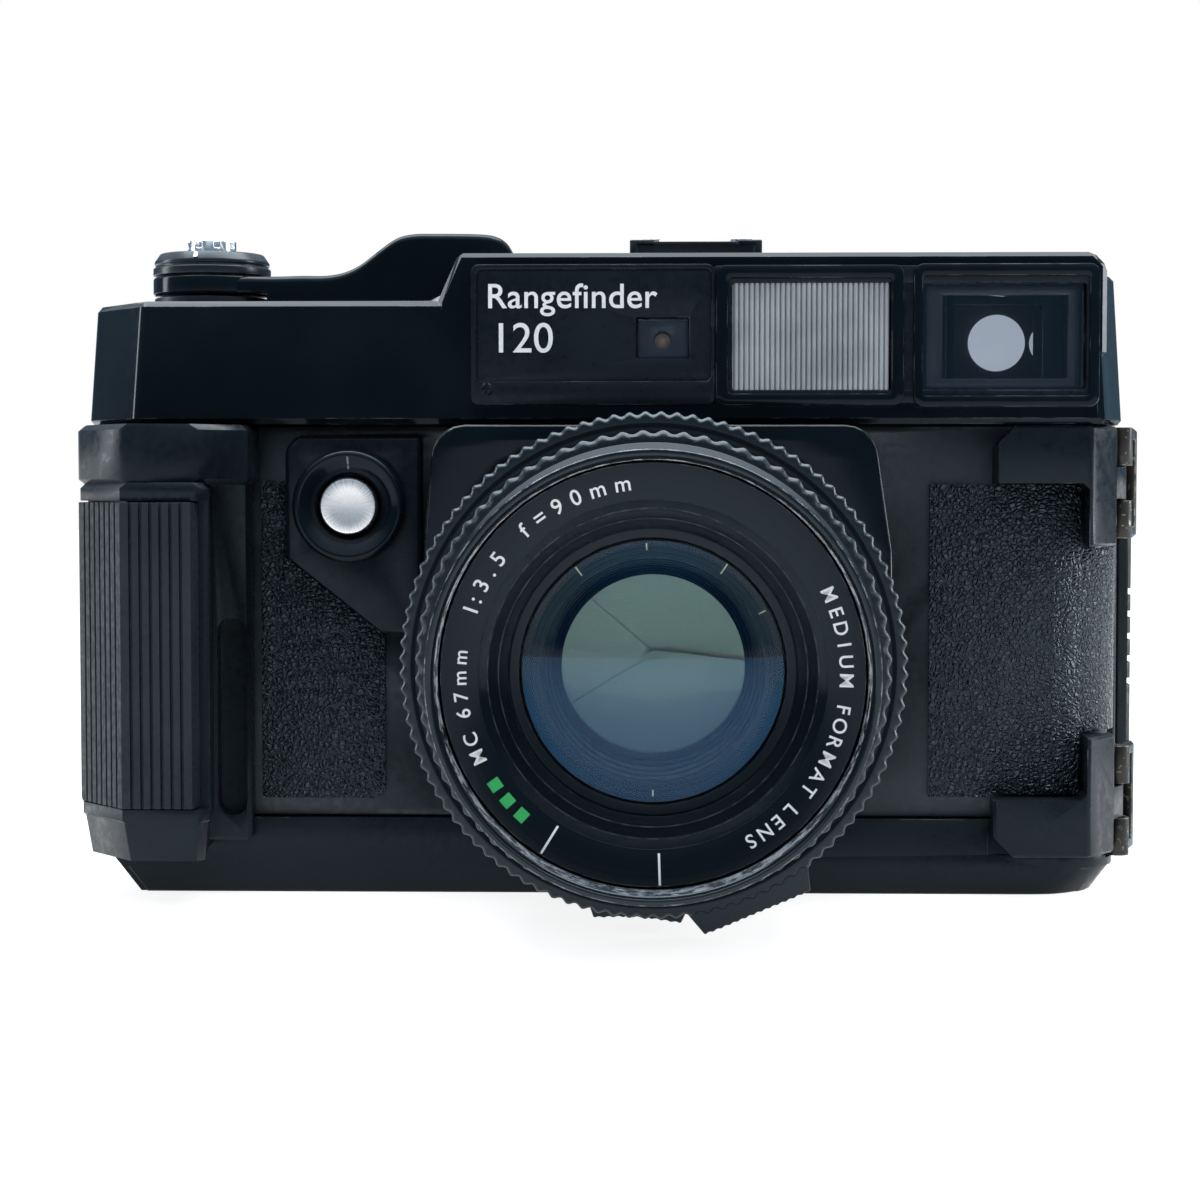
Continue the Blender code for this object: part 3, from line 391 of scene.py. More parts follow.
def painted(name, colour, roughness, worn, wear_width=0.35, wear=0.5, grain=0.0, specular=0.5):
    """Paint with a little dust and tone, and its edges rubbed brighter in patches."""
    look = Look(name, colour, roughness)
    look.set("Specular IOR Level", specular)
    tone = look.noise(35.0, 4.0)
    dust = look.noise(700.0, 2.0)
    patches = look.ramp(look.noise(120.0, 4.0, 0.65), 0.62 - 0.3 * wear, 0.70 - 0.2 * wear)
    rubbed = look.sum(look.edge(wear_width), patches, "MULTIPLY")
    rubbed = look.sum(rubbed, wear, "MULTIPLY")
    lighter = tuple(c * 1.5 + 0.001 for c in colour)
    base = look.mix(look.ramp(tone, 0.35, 0.7), colour, lighter)
    look.colour(look.mix(rubbed, base, worn))
    marks = look.ramp(look.sum(tone, dust, "ADD"), 0.75, 1.25, roughness * 0.8, roughness * 1.3)
    look.roughness(look.sum(marks, look.sum(rubbed, 0.15, "MULTIPLY"), "ADD"))
    if grain:
        look.bump(dust, grain)
    return look


def leather_look():
    """Pressed leatherette: irregular pebbles with creases between them and a soft shine, with painted shade
    darkening the creases.
    """
    look = Look("pebbled_leather", (0.006, 0.008, 0.010), 0.5)
    warp = look.noise(420.0, 2.0)
    bend = look.nodes.new("ShaderNodeVectorMath")
    bend.operation = "MULTIPLY_ADD"
    look.join(warp, bend.inputs[0])
    bend.inputs[1].default_value = (0.0012, 0.0012, 0.0012)
    look.join(look.where, bend.inputs[2])
    place = bend.outputs["Vector"]
    creases = look.cells(1050.0, "DISTANCE_TO_EDGE", place)
    folds = look.cells(430.0, "DISTANCE_TO_EDGE", place)
    swell = look.noise(900.0, 3.0, 0.6, place)
    grain = look.noise(4200.0, 2.0)
    height = look.sum(look.ramp(creases, 0.0, 0.26), look.ramp(folds, 0.0, 0.14, 0.45, 1.0), "MULTIPLY")
    height = look.sum(height, look.sum(swell, 1.1, "MULTIPLY"), "ADD")
    height = look.sum(height, look.sum(grain, 0.10, "MULTIPLY"), "ADD")
    look.bump(height, 0.34, 1.0)
    # Painted shade: the colour darkens down into the creases and lightens on the pebble tops, following the
    # bump height.
    look.colour(look.mix(look.ramp(height, 0.5, 1.5), (0.0015, 0.003, 0.0045), (0.009, 0.013, 0.017)))
    look.roughness(look.ramp(height, 0.4, 1.5, 0.50, 0.22))
    look.set("Specular IOR Level", 0.5)
    return look


def rubber_look():
    """Dark rubber, dusty in places."""
    look = Look("ribbed_rubber", (0.008, 0.010, 0.012), 0.62)
    dust = look.noise(900.0, 3.0)
    wide = look.noise(60.0, 3.0)
    look.colour(look.mix(look.ramp(wide, 0.3, 0.75), (0.007, 0.009, 0.011), (0.014, 0.017, 0.020)))
    look.roughness(look.ramp(dust, 0.3, 0.7, 0.48, 0.70))
    look.bump(dust, 0.03)
    look.set("Specular IOR Level", 0.3)
    return look


def around(look):
    """The angle round the object's own Z axis, and its X, Y and Z, as sockets."""
    split = look.nodes.new("ShaderNodeSeparateXYZ")
    look.join(look.where, split.inputs[0])
    return look.sum(split.outputs["Y"], split.outputs["X"], "ARCTAN2"), split


def turned_metal(name, colour, roughness, metallic=0.9, lines=0.25, worn=(0.30, 0.30, 0.31), wear=0.35,
                 specular=0.5):
    """Anodised or bare metal with fine lines left by turning."""
    look = Look(name, colour, roughness, metallic)
    look.set("Specular IOR Level", specular)
    split = around(look)[1]
    squash = look.nodes.new("ShaderNodeCombineXYZ")
    radius = look.nodes.new("ShaderNodeVectorMath")
    radius.operation = "LENGTH"
    flat = look.nodes.new("ShaderNodeCombineXYZ")
    look.join(split.outputs["X"], flat.inputs["X"])
    look.join(split.outputs["Y"], flat.inputs["Y"])
    look.join(flat.outputs["Vector"], radius.inputs[0])
    look.join(radius.outputs["Value"], squash.inputs["X"])
    look.join(split.outputs["Z"], squash.inputs["Y"])
    fine = look.noise(5200.0, 2.0, 0.5, squash.outputs["Vector"])
    spots = look.noise(420.0, 4.0, 0.6)
    # On the gloss rim this rubbed-edge mask, with its bright grey and strong wear, also paints a highlight
    # along the edge.
    rubbed = look.sum(look.edge(0.3), look.ramp(spots, 0.42, 0.62), "MULTIPLY")
    rubbed = look.sum(rubbed, wear, "MULTIPLY")
    look.colour(look.mix(rubbed, look.mix(fine, colour, tuple(c * 1.5 + 0.002 for c in colour)), worn))
    look.roughness(look.sum(look.sum(fine, lines, "MULTIPLY"), roughness - lines / 2, "ADD"))
    return look


def spun_silver():
    """The front button's face, brushed outwards from its middle."""
    look = Look("spun_silver", (0.78, 0.78, 0.79), 0.28, 1.0)
    angle = around(look)[0]
    spokes = look.nodes.new("ShaderNodeCombineXYZ")
    look.join(angle, spokes.inputs["X"])
    rays = look.noise(26.0, 5.0, 0.7, spokes.outputs["Vector"])
    look.colour(look.mix(look.ramp(rays, 0.35, 0.65), (0.46, 0.46, 0.47), (0.93, 0.93, 0.93)))
    look.roughness(look.ramp(rays, 0.3, 0.7, 0.22, 0.45))
    look.bump(rays, 0.02, 0.5)
    return look


def coated_glass(name, tint=(1.0, 1.0, 1.0), film_nm=420.0, film_ior=1.7, ior=1.5):
    """Clear glass whose coating reflects a colour."""
    look = Look(name, tint, 0.0)
    look.set("Transmission Weight", 1.0)
    look.set("IOR", ior)
    look.set("Thin Film Thickness", film_nm)
    look.set("Thin Film IOR", film_ior)
    haze = look.noise(90.0, 3.0)
    look.roughness(look.ramp(haze, 0.4, 0.9, 0.0, 0.04))
    return look


def plain_print(name, colour):
    """Filled engraving, a little uneven."""
    look = Look(name, colour, 0.5)
    tone = look.noise(900.0, 2.0)
    look.colour(look.mix(tone, colour, tuple(c * 0.72 for c in colour)))
    return look


def brass_look():
    """Black finish worn through to warm metal on the strap lugs."""
    look = Look("worn_lug", (0.05, 0.045, 0.035), 0.42, 0.8)
    spots = look.noise(520.0, 5.0, 0.65)
    rubbed = look.sum(look.edge(0.45), look.ramp(spots, 0.38, 0.58), "MULTIPLY")
    bare = look.sum(rubbed, look.ramp(look.noise(900.0, 3.0), 0.6, 0.72, 0.0, 0.6), "ADD")
    look.colour(look.mix(bare, (0.035, 0.032, 0.028), (0.40, 0.34, 0.25)))
    look.roughness(look.ramp(spots, 0.3, 0.7, 0.3, 0.55))
    look.bump(spots, 0.04)
    return look


# ---- fitting pieces to the frame

def fit(obj, look, body, slot, *nodes):
    """Gives a new piece its material, the body it moves with, and the CAD nodes it replaces."""
    obj.data.materials.clear()
    obj.data.materials.append(look.material)
    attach(obj, body)
    if nodes:
        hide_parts(*nodes)
    return obj


def dress(node, look, width=0.3, segments=2):
    """Keeps a CAD node's shape: soft edges and a procedural material."""
    obj = soften(node, width, segments) if width else NODES[node]
    obj.data.materials.clear()
    obj.data.materials.append(look.material)
    for polygon in obj.data.polygons:
        polygon.material_index = 0
    return obj


def letters(name, text, size, look, body, slot, matrix, spread=1.0, bold=0.0):
    """Flat lettering in the built-in font, a hair thick, as a mesh piece."""
    curve = bpy.data.curves.new(name, "FONT")
    curve.body = text
    curve.size = size * MM
    curve.align_x = "CENTER"
    curve.align_y = "CENTER"
    curve.space_character = spread
    curve.offset = bold * MM
    curve.extrude = 0.02 * MM
    source = bpy.data.objects.new(name, curve)
    bpy.context.scene.collection.objects.link(source)
    bpy.context.view_layer.update()
    graph = bpy.context.evaluated_depsgraph_get()
    mesh = bpy.data.meshes.new_from_object(source.evaluated_get(graph))
    bpy.data.objects.remove(source, do_unlink=True)
    obj = link(name, mesh, matrix)
    return fit(obj, look, body, slot)


def on_ring(clock_deg, radius, y, lean_deg=0.0):
    """A place on a ring that faces the viewer: reading upright at the top, clockwise round."""
    angle = math.radians(clock_deg)
    x = LENS_X + radius * math.sin(angle)
    z = LENS_Z + radius * math.cos(angle)
    turn = Matrix.Rotation(angle, 4, "Y") @ Matrix.Rotation(math.radians(90 - lean_deg), 4, "X")
    return Matrix.Translation(Vector((x, y, z)) * MM) @ turn


def ring_text(name, text, middle_deg, step_deg, size, radius, y, lean_deg, look, body, slot):
    """Letters one by one along a ring's face; narrow ones take less room."""
    widths = [0.55 if c in "1:.il" else 1.25 if c in "mMW" else 0.6 if c == " " else 1.0 for c in text]
    at = middle_deg - step_deg * sum(widths) / 2
    for index, (letter, width) in enumerate(zip(text, widths)):
        at += step_deg * width / 2
        if letter != " ":
            letters(f"{name}_{index}", letter, size, look, body, slot,
                    on_ring(at, radius, y, lean_deg), bold=0.03)
        at += step_deg * width / 2


def on_barrel(clock_deg, radius, y):
    """A place on the outside of a ring, reading along the ring from the front."""
    angle = math.radians(clock_deg)
    x = LENS_X + radius * math.sin(angle)
    z = LENS_Z + radius * math.cos(angle)
    turn = Matrix.Rotation(angle, 4, "Y")
    return Matrix.Translation(Vector((x, y, z)) * MM) @ turn


def scallops(count, depth, above):
    """Shallow flutes cut into the part of a ring that is outside a radius."""
    def reach(angle, r):
        if r < above:
            return r
        wave = 0.5 + 0.5 * math.cos(count * angle)
        return r - depth * wave
    return reach


def tab_outline(start, end, root, tip, teeth, hollow=1.1, widen=5.0):
    """A finger tab's outline on a ring, with a hollowed and finely toothed outer edge."""
    outline = []
    count = teeth * 2
    for step in range(count + 1):
        t = step / count
        angle = math.radians(90 - (start + (end - start) * t))
        notch = 0.35 if step % 2 and 0 < step < count else 0.0
        radius = tip - hollow * math.sin(math.pi * t) - notch
        outline.append((LENS_X + radius * math.cos(angle), LENS_Z + radius * math.sin(angle)))
    for step in range(13):
        angle = math.radians(90 - (end + widen - (end - start + 2 * widen) * step / 12))
        outline.append((LENS_X + root * math.cos(angle), LENS_Z + root * math.sin(angle)))
    return outline


# ---- lens

def make_lens(looks):
    """The rings, the lettered face and the glass, from the body outwards."""
    ring, gloss, mark = looks["ring"], looks["rim"], looks["white"]
    front = LENS_FRONT

    mount = turned("mount_ring", [(36.6, -1.8), (36.6, -13.9), (39.2, -13.9), (40.1, -13.0), (40.1, -8.0),
                                  (39.7, -7.6), (39.7, -7.0), (40.1, -6.6), (40.1, -1.8)], LENS,
                   origin=-8.0)
    fit(mount, looks["satin_ring"], "camera_body", "lens_black", "outer_helicoid")
    for clock in (-24, -16, -9, 0, 9, 16, 24):
        long = 3.2 if clock == 0 else 1.8
        line = prism(f"depth_mark_{clock + 24}", [(-0.12, -long), (0.12, -long), (0.12, 0), (-0.12, 0)],
                     0.0, 0.05)
        line.matrix_world = on_barrel(clock, 40.1, -9.6)
        fit(line, mark, "camera_body", "lens_black")

    profile = [(36.6, -14.2), (36.6, -30.4), (39.9, -30.4), (40.9, -29.6), (40.9, -20.6), (40.2, -20.2),
               (40.2, -19.4), (40.6, -19.0), (40.6, -14.8), (40.1, -14.2)]
    grip = scallops(60, 0.7, 40.75)
    focus = turned("focus_grip", profile, LENS, steps=480, origin=-22.0, wobble=grip)
    fit(focus, ring, "focus", "lens_black", "focus_ring")
    tab = prism("focus_tab", tab_outline(174, 193, 39.0, 44.3, 9), -29.0, -20.0, "Y")
    fit(bevelled(tab, 0.35), ring, "focus", "lens_black")
    for clock, text in ((-58, "1.5"), (-38, "2"), (-20, "3"), (-2, "5"), (16, "10"), (34, "30")):
        letters(f"distance_{text.replace('.', '_')}", text, 2.6, mark, "focus", "lens_black",
                on_barrel(clock, 40.63, -16.9))

    teeth = scallops(100, 0.6, 40.6)
    profile = [(33.5, -31.0), (33.5, -39.0), (34.3, -39.3), (38.9, -39.3), (39.5, -39.6), (40.9, -39.6),
               (41.5, -39.0), (41.5, -35.4), (40.4, -34.6), (40.4, -31.6), (40.0, -31.0)]
    speed = turned("speed_grip", profile, LENS, steps=700, origin=-35.0, wobble=teeth)
    fit(speed, ring, "speed", "lens_black", "shutter_speed_ring")
    tab = prism("speed_tab", tab_outline(145, 169, 39.0, 44.9, 13, 0.9), -39.0, -33.0, "Y")
    fit(bevelled(tab, 0.3), ring, "speed", "lens_black")
    for clock, text in ((-60, "1"), (-45, "2"), (-30, "4"), (-15, "8"), (0, "15"), (15, "30"), (30, "60"),
                        (45, "125"), (60, "250")):
        letters(f"speed_{text}", text, 2.0, mark, "speed", "lens_black", on_barrel(clock, 40.43, -33.1))

    teeth = scallops(72, 0.6, 37.4)
    profile = [(33.5, -39.9), (33.5, -45.4), (34.1, -46.0), (37.5, -46.0), (38.3, -45.3), (38.3, -41.6),
               (37.2, -41.2), (37.2, -39.9)]
    aperture = turned("aperture_grip", profile, LENS, steps=504, origin=-43.0, wobble=teeth)
    fit(aperture, ring, "aperture", "lens_black", "aperture_ring")

    profile = [(31.5, 8.0), (31.5, -16.4), (15.0, -16.4), (15.0, -18.4), (29.0, -18.4), (29.0, -47.0),
               (33.0, -47.0), (33.0, -30.7), (36.0, -30.7), (36.0, 8.0)]
    barrel = turned("barrel_tube", profile, LENS, origin=-20.0, radius=0.15)
    fit(barrel, looks["satin_ring"], "barrel", "lens_black", "lens_barrel")

    thread = []
    for step in range(8):
        y = front + 0.5 + 0.72 * step
        thread += [(33.75, y, 0.0), (33.35, y + 0.36, 0.0)]
    profile = [(29.2, -47.4), (33.5, -47.4), (33.5, -46.4), (36.3, -46.4), (36.3, -48.0), (35.0, -50.2),
               (35.0, -62.6), (34.8, -62.9), (35.0, -63.2), (35.0, front, 0.35), (34.0, front, 0.3)]
    profile += thread + [(33.3, -58.2, 0.1), (33.3, -56.0), (29.2, -50.4)]
    rim = turned("front_rim", profile, LENS, steps=192, origin=-55.0, radius=0.3)
    fit(rim, gloss, "barrel", "lens_black", "filter_ring")

    profile = [(33.0, -58.2), (33.0, -56.4), (28.6, -55.2), (23.4, -50.6), (22.8, -51.4), (24.2, -53.2),
               (24.35, -53.2), (25.8, -55.1), (25.95, -55.1), (27.25, -57.1)]
    face = turned("lettered_ring", profile, LENS, steps=192, origin=-55.0, radius=0.08)
    fit(face, looks["name_ring"], "barrel", "lens_black", "name_ring")
    lean = -math.degrees(math.atan2(1.05, 5.75))
    face_y = -57.69
    radius = 29.9
    text = (("ratio", "1:3.5", -61, 6.0, 3.5), ("focal", "f=90mm", -25, 6.1, 3.5),
            ("format", "MEDIUM FORMAT LENS", 107, 5.0, 3.1), ("filter", "MC 67mm", -100, 5.0, 3.1))
    for label, words, clock, step, size in text:
        ring_text(f"{label}_text", words, clock, step, size, radius, face_y, lean, mark, "barrel",
                  "lens_black")
    for index, clock in enumerate((-148, 178)):
        line = plaque(f"face_line_{index}", 0.36, 5.0)
        line.matrix_world = on_ring(clock, 30.3, face_y, lean)
        fit(line, mark, "barrel", "lens_black")
    for index, clock in enumerate((-137, -131, -125)):
        bar = plaque(f"green_bar_{index}", 1.8, 2.0)
        bar.matrix_world = on_ring(clock, radius, face_y, lean)
        fit(bar, looks["green"], "barrel", "lens_black")

    steps = []
    for index in range(7):
        t = index / 7
        after = (index + 1) / 7
        y0, y1 = -44.6 + 19.4 * t, -44.6 + 19.4 * after
        steps += [(17.4 - 3.8 * t, y0), (17.4 - 3.8 * t, y1 - 0.5), (17.4 - 3.8 * after, y1 - 0.2)]
    cell = turned("front_cell_rings", [(28.6, -49.4), (28.6, -45.4), (19.7, -43.2), (15.6, -24.0),
                                       (13.4, -24.0)] + steps[::-1] +
                  [(21.2, -44.6), (21.2, -49.8), (22.6, -50.1)], LENS, steps=160, origin=-40.0, radius=0.1)
    fit(cell, looks["cell"], "barrel", "matt_black", "front_cell")
    for index, (clock, long) in enumerate(((-37, 1.7), (-3, 1.1), (35, 1.9), (62, 1.2), (180, 1.0))):
        tick = plaque(f"cell_tick_{index}", 0.22, long)
        tick.matrix_world = on_ring(clock, 19.2, -44.68)
        fit(tick, looks["cream"], "barrel", "matt_black")

    def dome(radius, edge, crown, count=12):
        """A gently domed face, from its edge to its middle."""
        shares = [1 - index / count for index in range(count)]
        return [(radius * share, crown + (edge - crown) * share ** 2) for share in shares]

    profile = [(AXIS_GAP, -47.5), (12.0, -46.6), (20.7, -44.95)]
    profile += dome(20.7, -50.2, -53.0) + [(AXIS_GAP, -53.0)]
    glass = turned("front_lens", profile, LENS, steps=96, origin=-48.0, radius=0, solid=True)
    fit(glass, looks["green_glass"], "barrel", "optical_glass", "front_element")
    profile = [(AXIS_GAP, -32.8), (14.3, -32.8)] + dome(14.3, -36.2, -37.6) + [(AXIS_GAP, -37.6)]
    glass = turned("middle_lens", profile, LENS, steps=96, origin=-35.0, radius=0, solid=True)
    fit(glass, looks["purple_glass"], "barrel", "optical_glass", "middle_element")
    for number in range(1, 6):
        dress(f"shutter_blade_{number}", looks["blade"], 0)
    dress("rear_cell", looks["cell"], 0.2)
    dress("rear_element", looks["purple_glass"], 0)


def make_controls(looks):
    """The lever's hub and collar on top, and the release on the front."""
    profile = [(4.95, 114.85), (4.95, 118.7), (5.5, 119.1), (9.8, 119.1, 0.3), (10.9, 117.5, 0.2),
               (10.9, 117.0, 0.1), (10.7, 116.8, 0.1), (10.7, 116.5, 0.1), (11.15, 116.3, 0.2),
               (11.15, 114.85)]
    disc = turned("cap_disc", profile, HUB, "Z", origin=117.0)
    fit(disc, looks["ring"], "lever", "lens_black", "lever_cap")
    index = plaque("cap_index", 0.7, 1.5, 0.05)
    index.matrix_world = (Matrix.Translation(Vector((HUB[0] - 1.2, HUB[1] - 10.38, 118.34)) * MM)
                          @ Matrix.Rotation(math.radians(43), 4, "X"))
    fit(index, looks["white"], "lever", "lens_black")
    boss = turned("boss_ring", [(5.9, 108.55), (5.9, 110.6), (10.9, 110.6), (10.9, 108.55)], HUB, "Z",
                  origin=109.0)
    fit(boss, looks["satin_ring"], "camera_body", "lens_black", "lever_boss")
    dress("release_lock_ring", looks["steel"], 0.15, 2)
    profile = [(AXIS_GAP, 110.0), (2.5, 110.0), (2.5, 120.7), (2.2, 121.1), (1.5, 121.0), (AXIS_GAP, 120.7)]
    button = turned("top_button", profile, HUB, "Z", steps=48, origin=120.0, radius=0, solid=True)
    fit(button, looks["steel"], "top_button", "matt_black", "top_release_button")

    front = size_of("front_release_ring")[0].y
    collar = turned("release_funnel", [(5.75, 9.2), (5.75, front + 2.4), (6.2, front + 1.8),
                                       (7.6, front + 0.75), (9.0, front + 0.05), (9.7, front + 0.15),
                                       (10.2, front + 0.8), (10.25, 6.2), (6.2, 6.2), (6.2, 9.2)], RELEASE,
                    steps=128, origin=front, radius=0.5)
    fit(collar, looks["gloss"], "release_ring", "gloss_paint", "front_release_ring")
    line = plaque("funnel_index", 0.32, 2.6, 0.05)
    line.matrix_world = (Matrix.Translation(Vector((RELEASE[0], front + 0.7, RELEASE[1] + 7.8)) * MM)
                         @ Matrix.Rotation(math.radians(90 + 34), 4, "X"))
    fit(line, looks["grey"], "release_ring", "gloss_paint")
    profile = [(AXIS_GAP, 6.8), (5.15, 6.8), (5.15, front + 1.1), (4.9, front + 0.65), (4.5, front + 0.55),
               (3.0, front + 0.75), (1.5, front + 0.88), (AXIS_GAP, front + 0.92)]
    button = turned("silver_button", profile, RELEASE, steps=96, origin=front, radius=0, solid=True)
    fit(button, looks["silver"], "front_button", "steel", "front_release_button")


# ---- finder and top

def rounded(x0, x1, z0, z1, radius, steps=5):
    """A rectangle with round corners, anticlockwise from its lower right corner."""
    points = []
    for cx, cz, start in ((x1 - radius, z0 + radius, -90), (x1 - radius, z1 - radius, 0),
                          (x0 + radius, z1 - radius, 90), (x0 + radius, z0 + radius, 180)):
        for step in range(steps + 1):
            angle = math.radians(start + 90 * step / steps)
            points.append((cx + radius * math.cos(angle), cz + radius * math.sin(angle)))
    return points


def window_frame(name, outer, hole, front, back, corner=1.6, hole_corner=0.8, edge=0.25):
    """A plate with round corners and a window in it; outer and hole are x0, x1, z0, z1."""
    def loop(box, radius, grow, y):
        x0, x1, z0, z1 = box
        return [(x, y, z) for x, z in rounded(x0 - grow, x1 + grow, z0 - grow, z1 + grow, radius + grow)]
    soft = edge * 0.3
    loops = [loop(outer, corner, 0, back), loop(outer, corner, 0, front + edge),
             loop(outer, corner, -soft, front + soft), loop(outer, corner, -edge, front),
             loop(hole, hole_corner, edge, front), loop(hole, hole_corner, soft, front + soft),
             loop(hole, hole_corner, 0, front + edge), loop(hole, hole_corner, 0, back)]
    work = bmesh.new()
    rings = [[work.verts.new(Vector(p) * MM) for p in ring] for ring in loops]
    for index, ring in enumerate(rings):
        following = rings[(index + 1) % len(rings)]
        for step in range(len(ring)):
            after = (step + 1) % len(ring)
            work.faces.new((ring[step], ring[after], following[after], following[step]))
    return from_bmesh(name, work)


def make_bezel(looks):
    """The plate on the finder's front: a lettered panel and a raised frame round each window."""
    satin = looks["satin"]
    low, high = size_of("viewfinder_bezel")
    front, back = low.y, high.y
    light, finder, spot = (19.2, 48.3, 91.4, 111.8), (53.9, 83.4, 91.0, 112.2), (2.8, 12.3, 97.6, 104.9)
    border = window_frame("bezel_border", (low.x, 16.8, low.z, high.z), (-25.7, 16.2, 93.6, 113.4),
                          front, back, 1.4, 1.0)
    fit(border, satin, "camera_body", "satin_paint", "viewfinder_bezel")
    panel = window_frame("bezel_panel", (-26.0, 16.5, 93.3, 113.7), spot, front + 0.4, back - 0.2,
                         0.5, 0.2, 0.12)
    fit(panel, satin, "camera_body", "satin_paint")
    filler = window_frame("bezel_filler", (16.4, 84.4, low.z + 0.3, high.z - 0.3),
                          (20.0, 83.0, 92.0, 111.0), front + 0.5, back - 0.3, 1.0, 0.5)
    fit(filler, satin, "camera_body", "satin_paint")
    for name, outer, hole in (("light_frame", (17.0, 50.6, 89.2, 114.2), light),
                              ("finder_frame", (52.2, 85.3, 88.9, 114.4), finder)):
        frame_piece = window_frame(name, outer, hole, front - 0.1, back, 1.8, 0.7, 0.35)
        fit(frame_piece, looks["gloss"], "camera_body", "satin_paint")
    outline = [(48.6, front + 0.6), (53.7, front + 0.6), (53.7, back - 0.3), (48.6, back - 0.3)]
    post = prism("window_post", outline, low.z + 0.6, high.z - 0.6)
    fit(post, satin, "camera_body", "satin_paint")
    for name, text, (x, z), size, bold, spread in (
            ("finder_words", "Rangefinder", (-8.8, 108.5), 6.2, 0.05, 1.03),
            ("finder_number", "120", (-17.6, 101.0), 7.6, 0.02, 1.0)):
        turn = Matrix.Rotation(math.radians(90), 4, "X")
        letters(name, text, size, looks["white"], "camera_body", "satin_paint",
                Matrix.Translation(Vector((x, front + 0.36, z)) * MM) @ turn, spread, bold)


def make_windows(looks):
    """The ribbed illumination window, the glass panes, and what shows behind them."""
    low, high = size_of("frame_light_window")
    count = 31
    pitch = (high.x - low.x) / count
    outline = [(low.x, high.y)]
    for index in range(count):
        left = low.x + pitch * index
        for share, depth in ((0.0, 0.6), (0.22, 0.12), (0.5, 0.0), (0.78, 0.12)):
            outline.append((left + pitch * share, low.y + depth))
    outline += [(high.x, low.y + 0.6), (high.x, high.y)]
    ribs = prism("ribbed_window", outline, low.z, high.z)
    fit(ribs, looks["ribbed"], "camera_body", "pale_window", "frame_light_window")
    dress("viewfinder_front_glass", looks["window"], 0)
    dress("rangefinder_glass", looks["window"], 0)
    dress("beam_splitter", looks["splitter"], 0)
    dress("rangefinder_mirror", looks["mirror"], 0)
    dress("eyepiece_lens", looks["window"], 0)
    low, high = size_of("eyepiece_ring")
    eye = ((low.x + high.x) / 2, (low.z + high.z) / 2)
    profile = [(6.5, 52.5), (6.5, 56.0), (10.3, 56.0), (10.3, high.y - 0.9), (9.5, high.y),
               (7.6, high.y), (5.6, high.y - 2.5), (5.6, 52.5)]
    cup = turned("eyepiece_cup", profile, eye, steps=96, origin=60.0)
    fit(cup, looks["matt"], "camera_body", "matt_black", "eyepiece_ring")
    profile = [(AXIS_GAP, 47.2), (5.5, 47.2), (5.5, 46.2), (AXIS_GAP, 45.6)]
    # The field lens carries a painted glow in place of daylight coming through the eyepiece.
    lens = turned("field_lens", profile, FIELD_LENS, steps=64, origin=46.0, radius=0, solid=True)
    fit(lens, looks["glow"], "camera_body", "optical_glass")
    profile = [(5.4, 47.3), (11.5, 47.3), (11.5, 48.1), (5.4, 48.1)]
    holder = turned("field_lens_holder", profile, FIELD_LENS, steps=64, origin=47.0, radius=0.1)
    fit(holder, looks["brown"], "camera_body", "matt_black")
    for name, outer, hole, y, look in (
            ("finder_mask_front", (55.0, 82.6, 92.4, 110.8), (58.0, 80.6, 94.2, 109.2), 8.0, "brown"),
            ("finder_mask_back", (56.0, 84.0, 92.4, 112.0), (62.0, 80.5, 95.6, 109.6), 36.0, "matt")):
        mask = window_frame(name, outer, hole, y, y + 0.8, 0.6, 0.4, 0.2)
        fit(mask, looks[look], "camera_body", "matt_black")
    card = window_frame("rangefinder_mask", (2.0, 13.4, 96.9, 105.4), (6.0, 9.0, 99.6, 102.6), 6.4, 7.0,
                        0.4, 1.4, 0.2)
    fit(card, looks["brown"], "camera_body", "matt_black")
    profile = [(AXIS_GAP, 9.0), (1.5, 9.0), (1.4, 8.2), (0.8, 7.6), (AXIS_GAP, 7.4)]
    # The rangefinder bead carries a faint painted glow.
    bead = turned("rangefinder_bead", profile, (7.5, 101.0), steps=32, origin=8.0, radius=0, solid=True)
    fit(bead, looks["amber_painted_glow"], "camera_body", "optical_glass")


def spline(points, steps):
    """A Catmull-Rom curve through an open list of points."""
    path = [Vector(p) for p in points]
    ends = [path[0] * 2 - path[1]] + path + [path[-1] * 2 - path[-2]]
    out = []
    for i in range(1, len(ends) - 2):
        a, b, c, d = ends[i - 1:i + 3]
        for step in range(steps):
            t = step / steps
            out.append(0.5 * ((2 * b) + (c - a) * t + (2 * a - 5 * b + 4 * c - d) * t ** 2
                              + (3 * b - a - 3 * c + d) * t ** 3))
    out.append(path[-1])
    return out


def along(points, x):
    """The value at x on a line through (x, value) points."""
    for (x0, v0), (x1, v1) in zip(points, points[1:]):
        if x <= x1:
            return v0 + (v1 - v0) * (x - x0) / (x1 - x0)
    return points[-1][1]


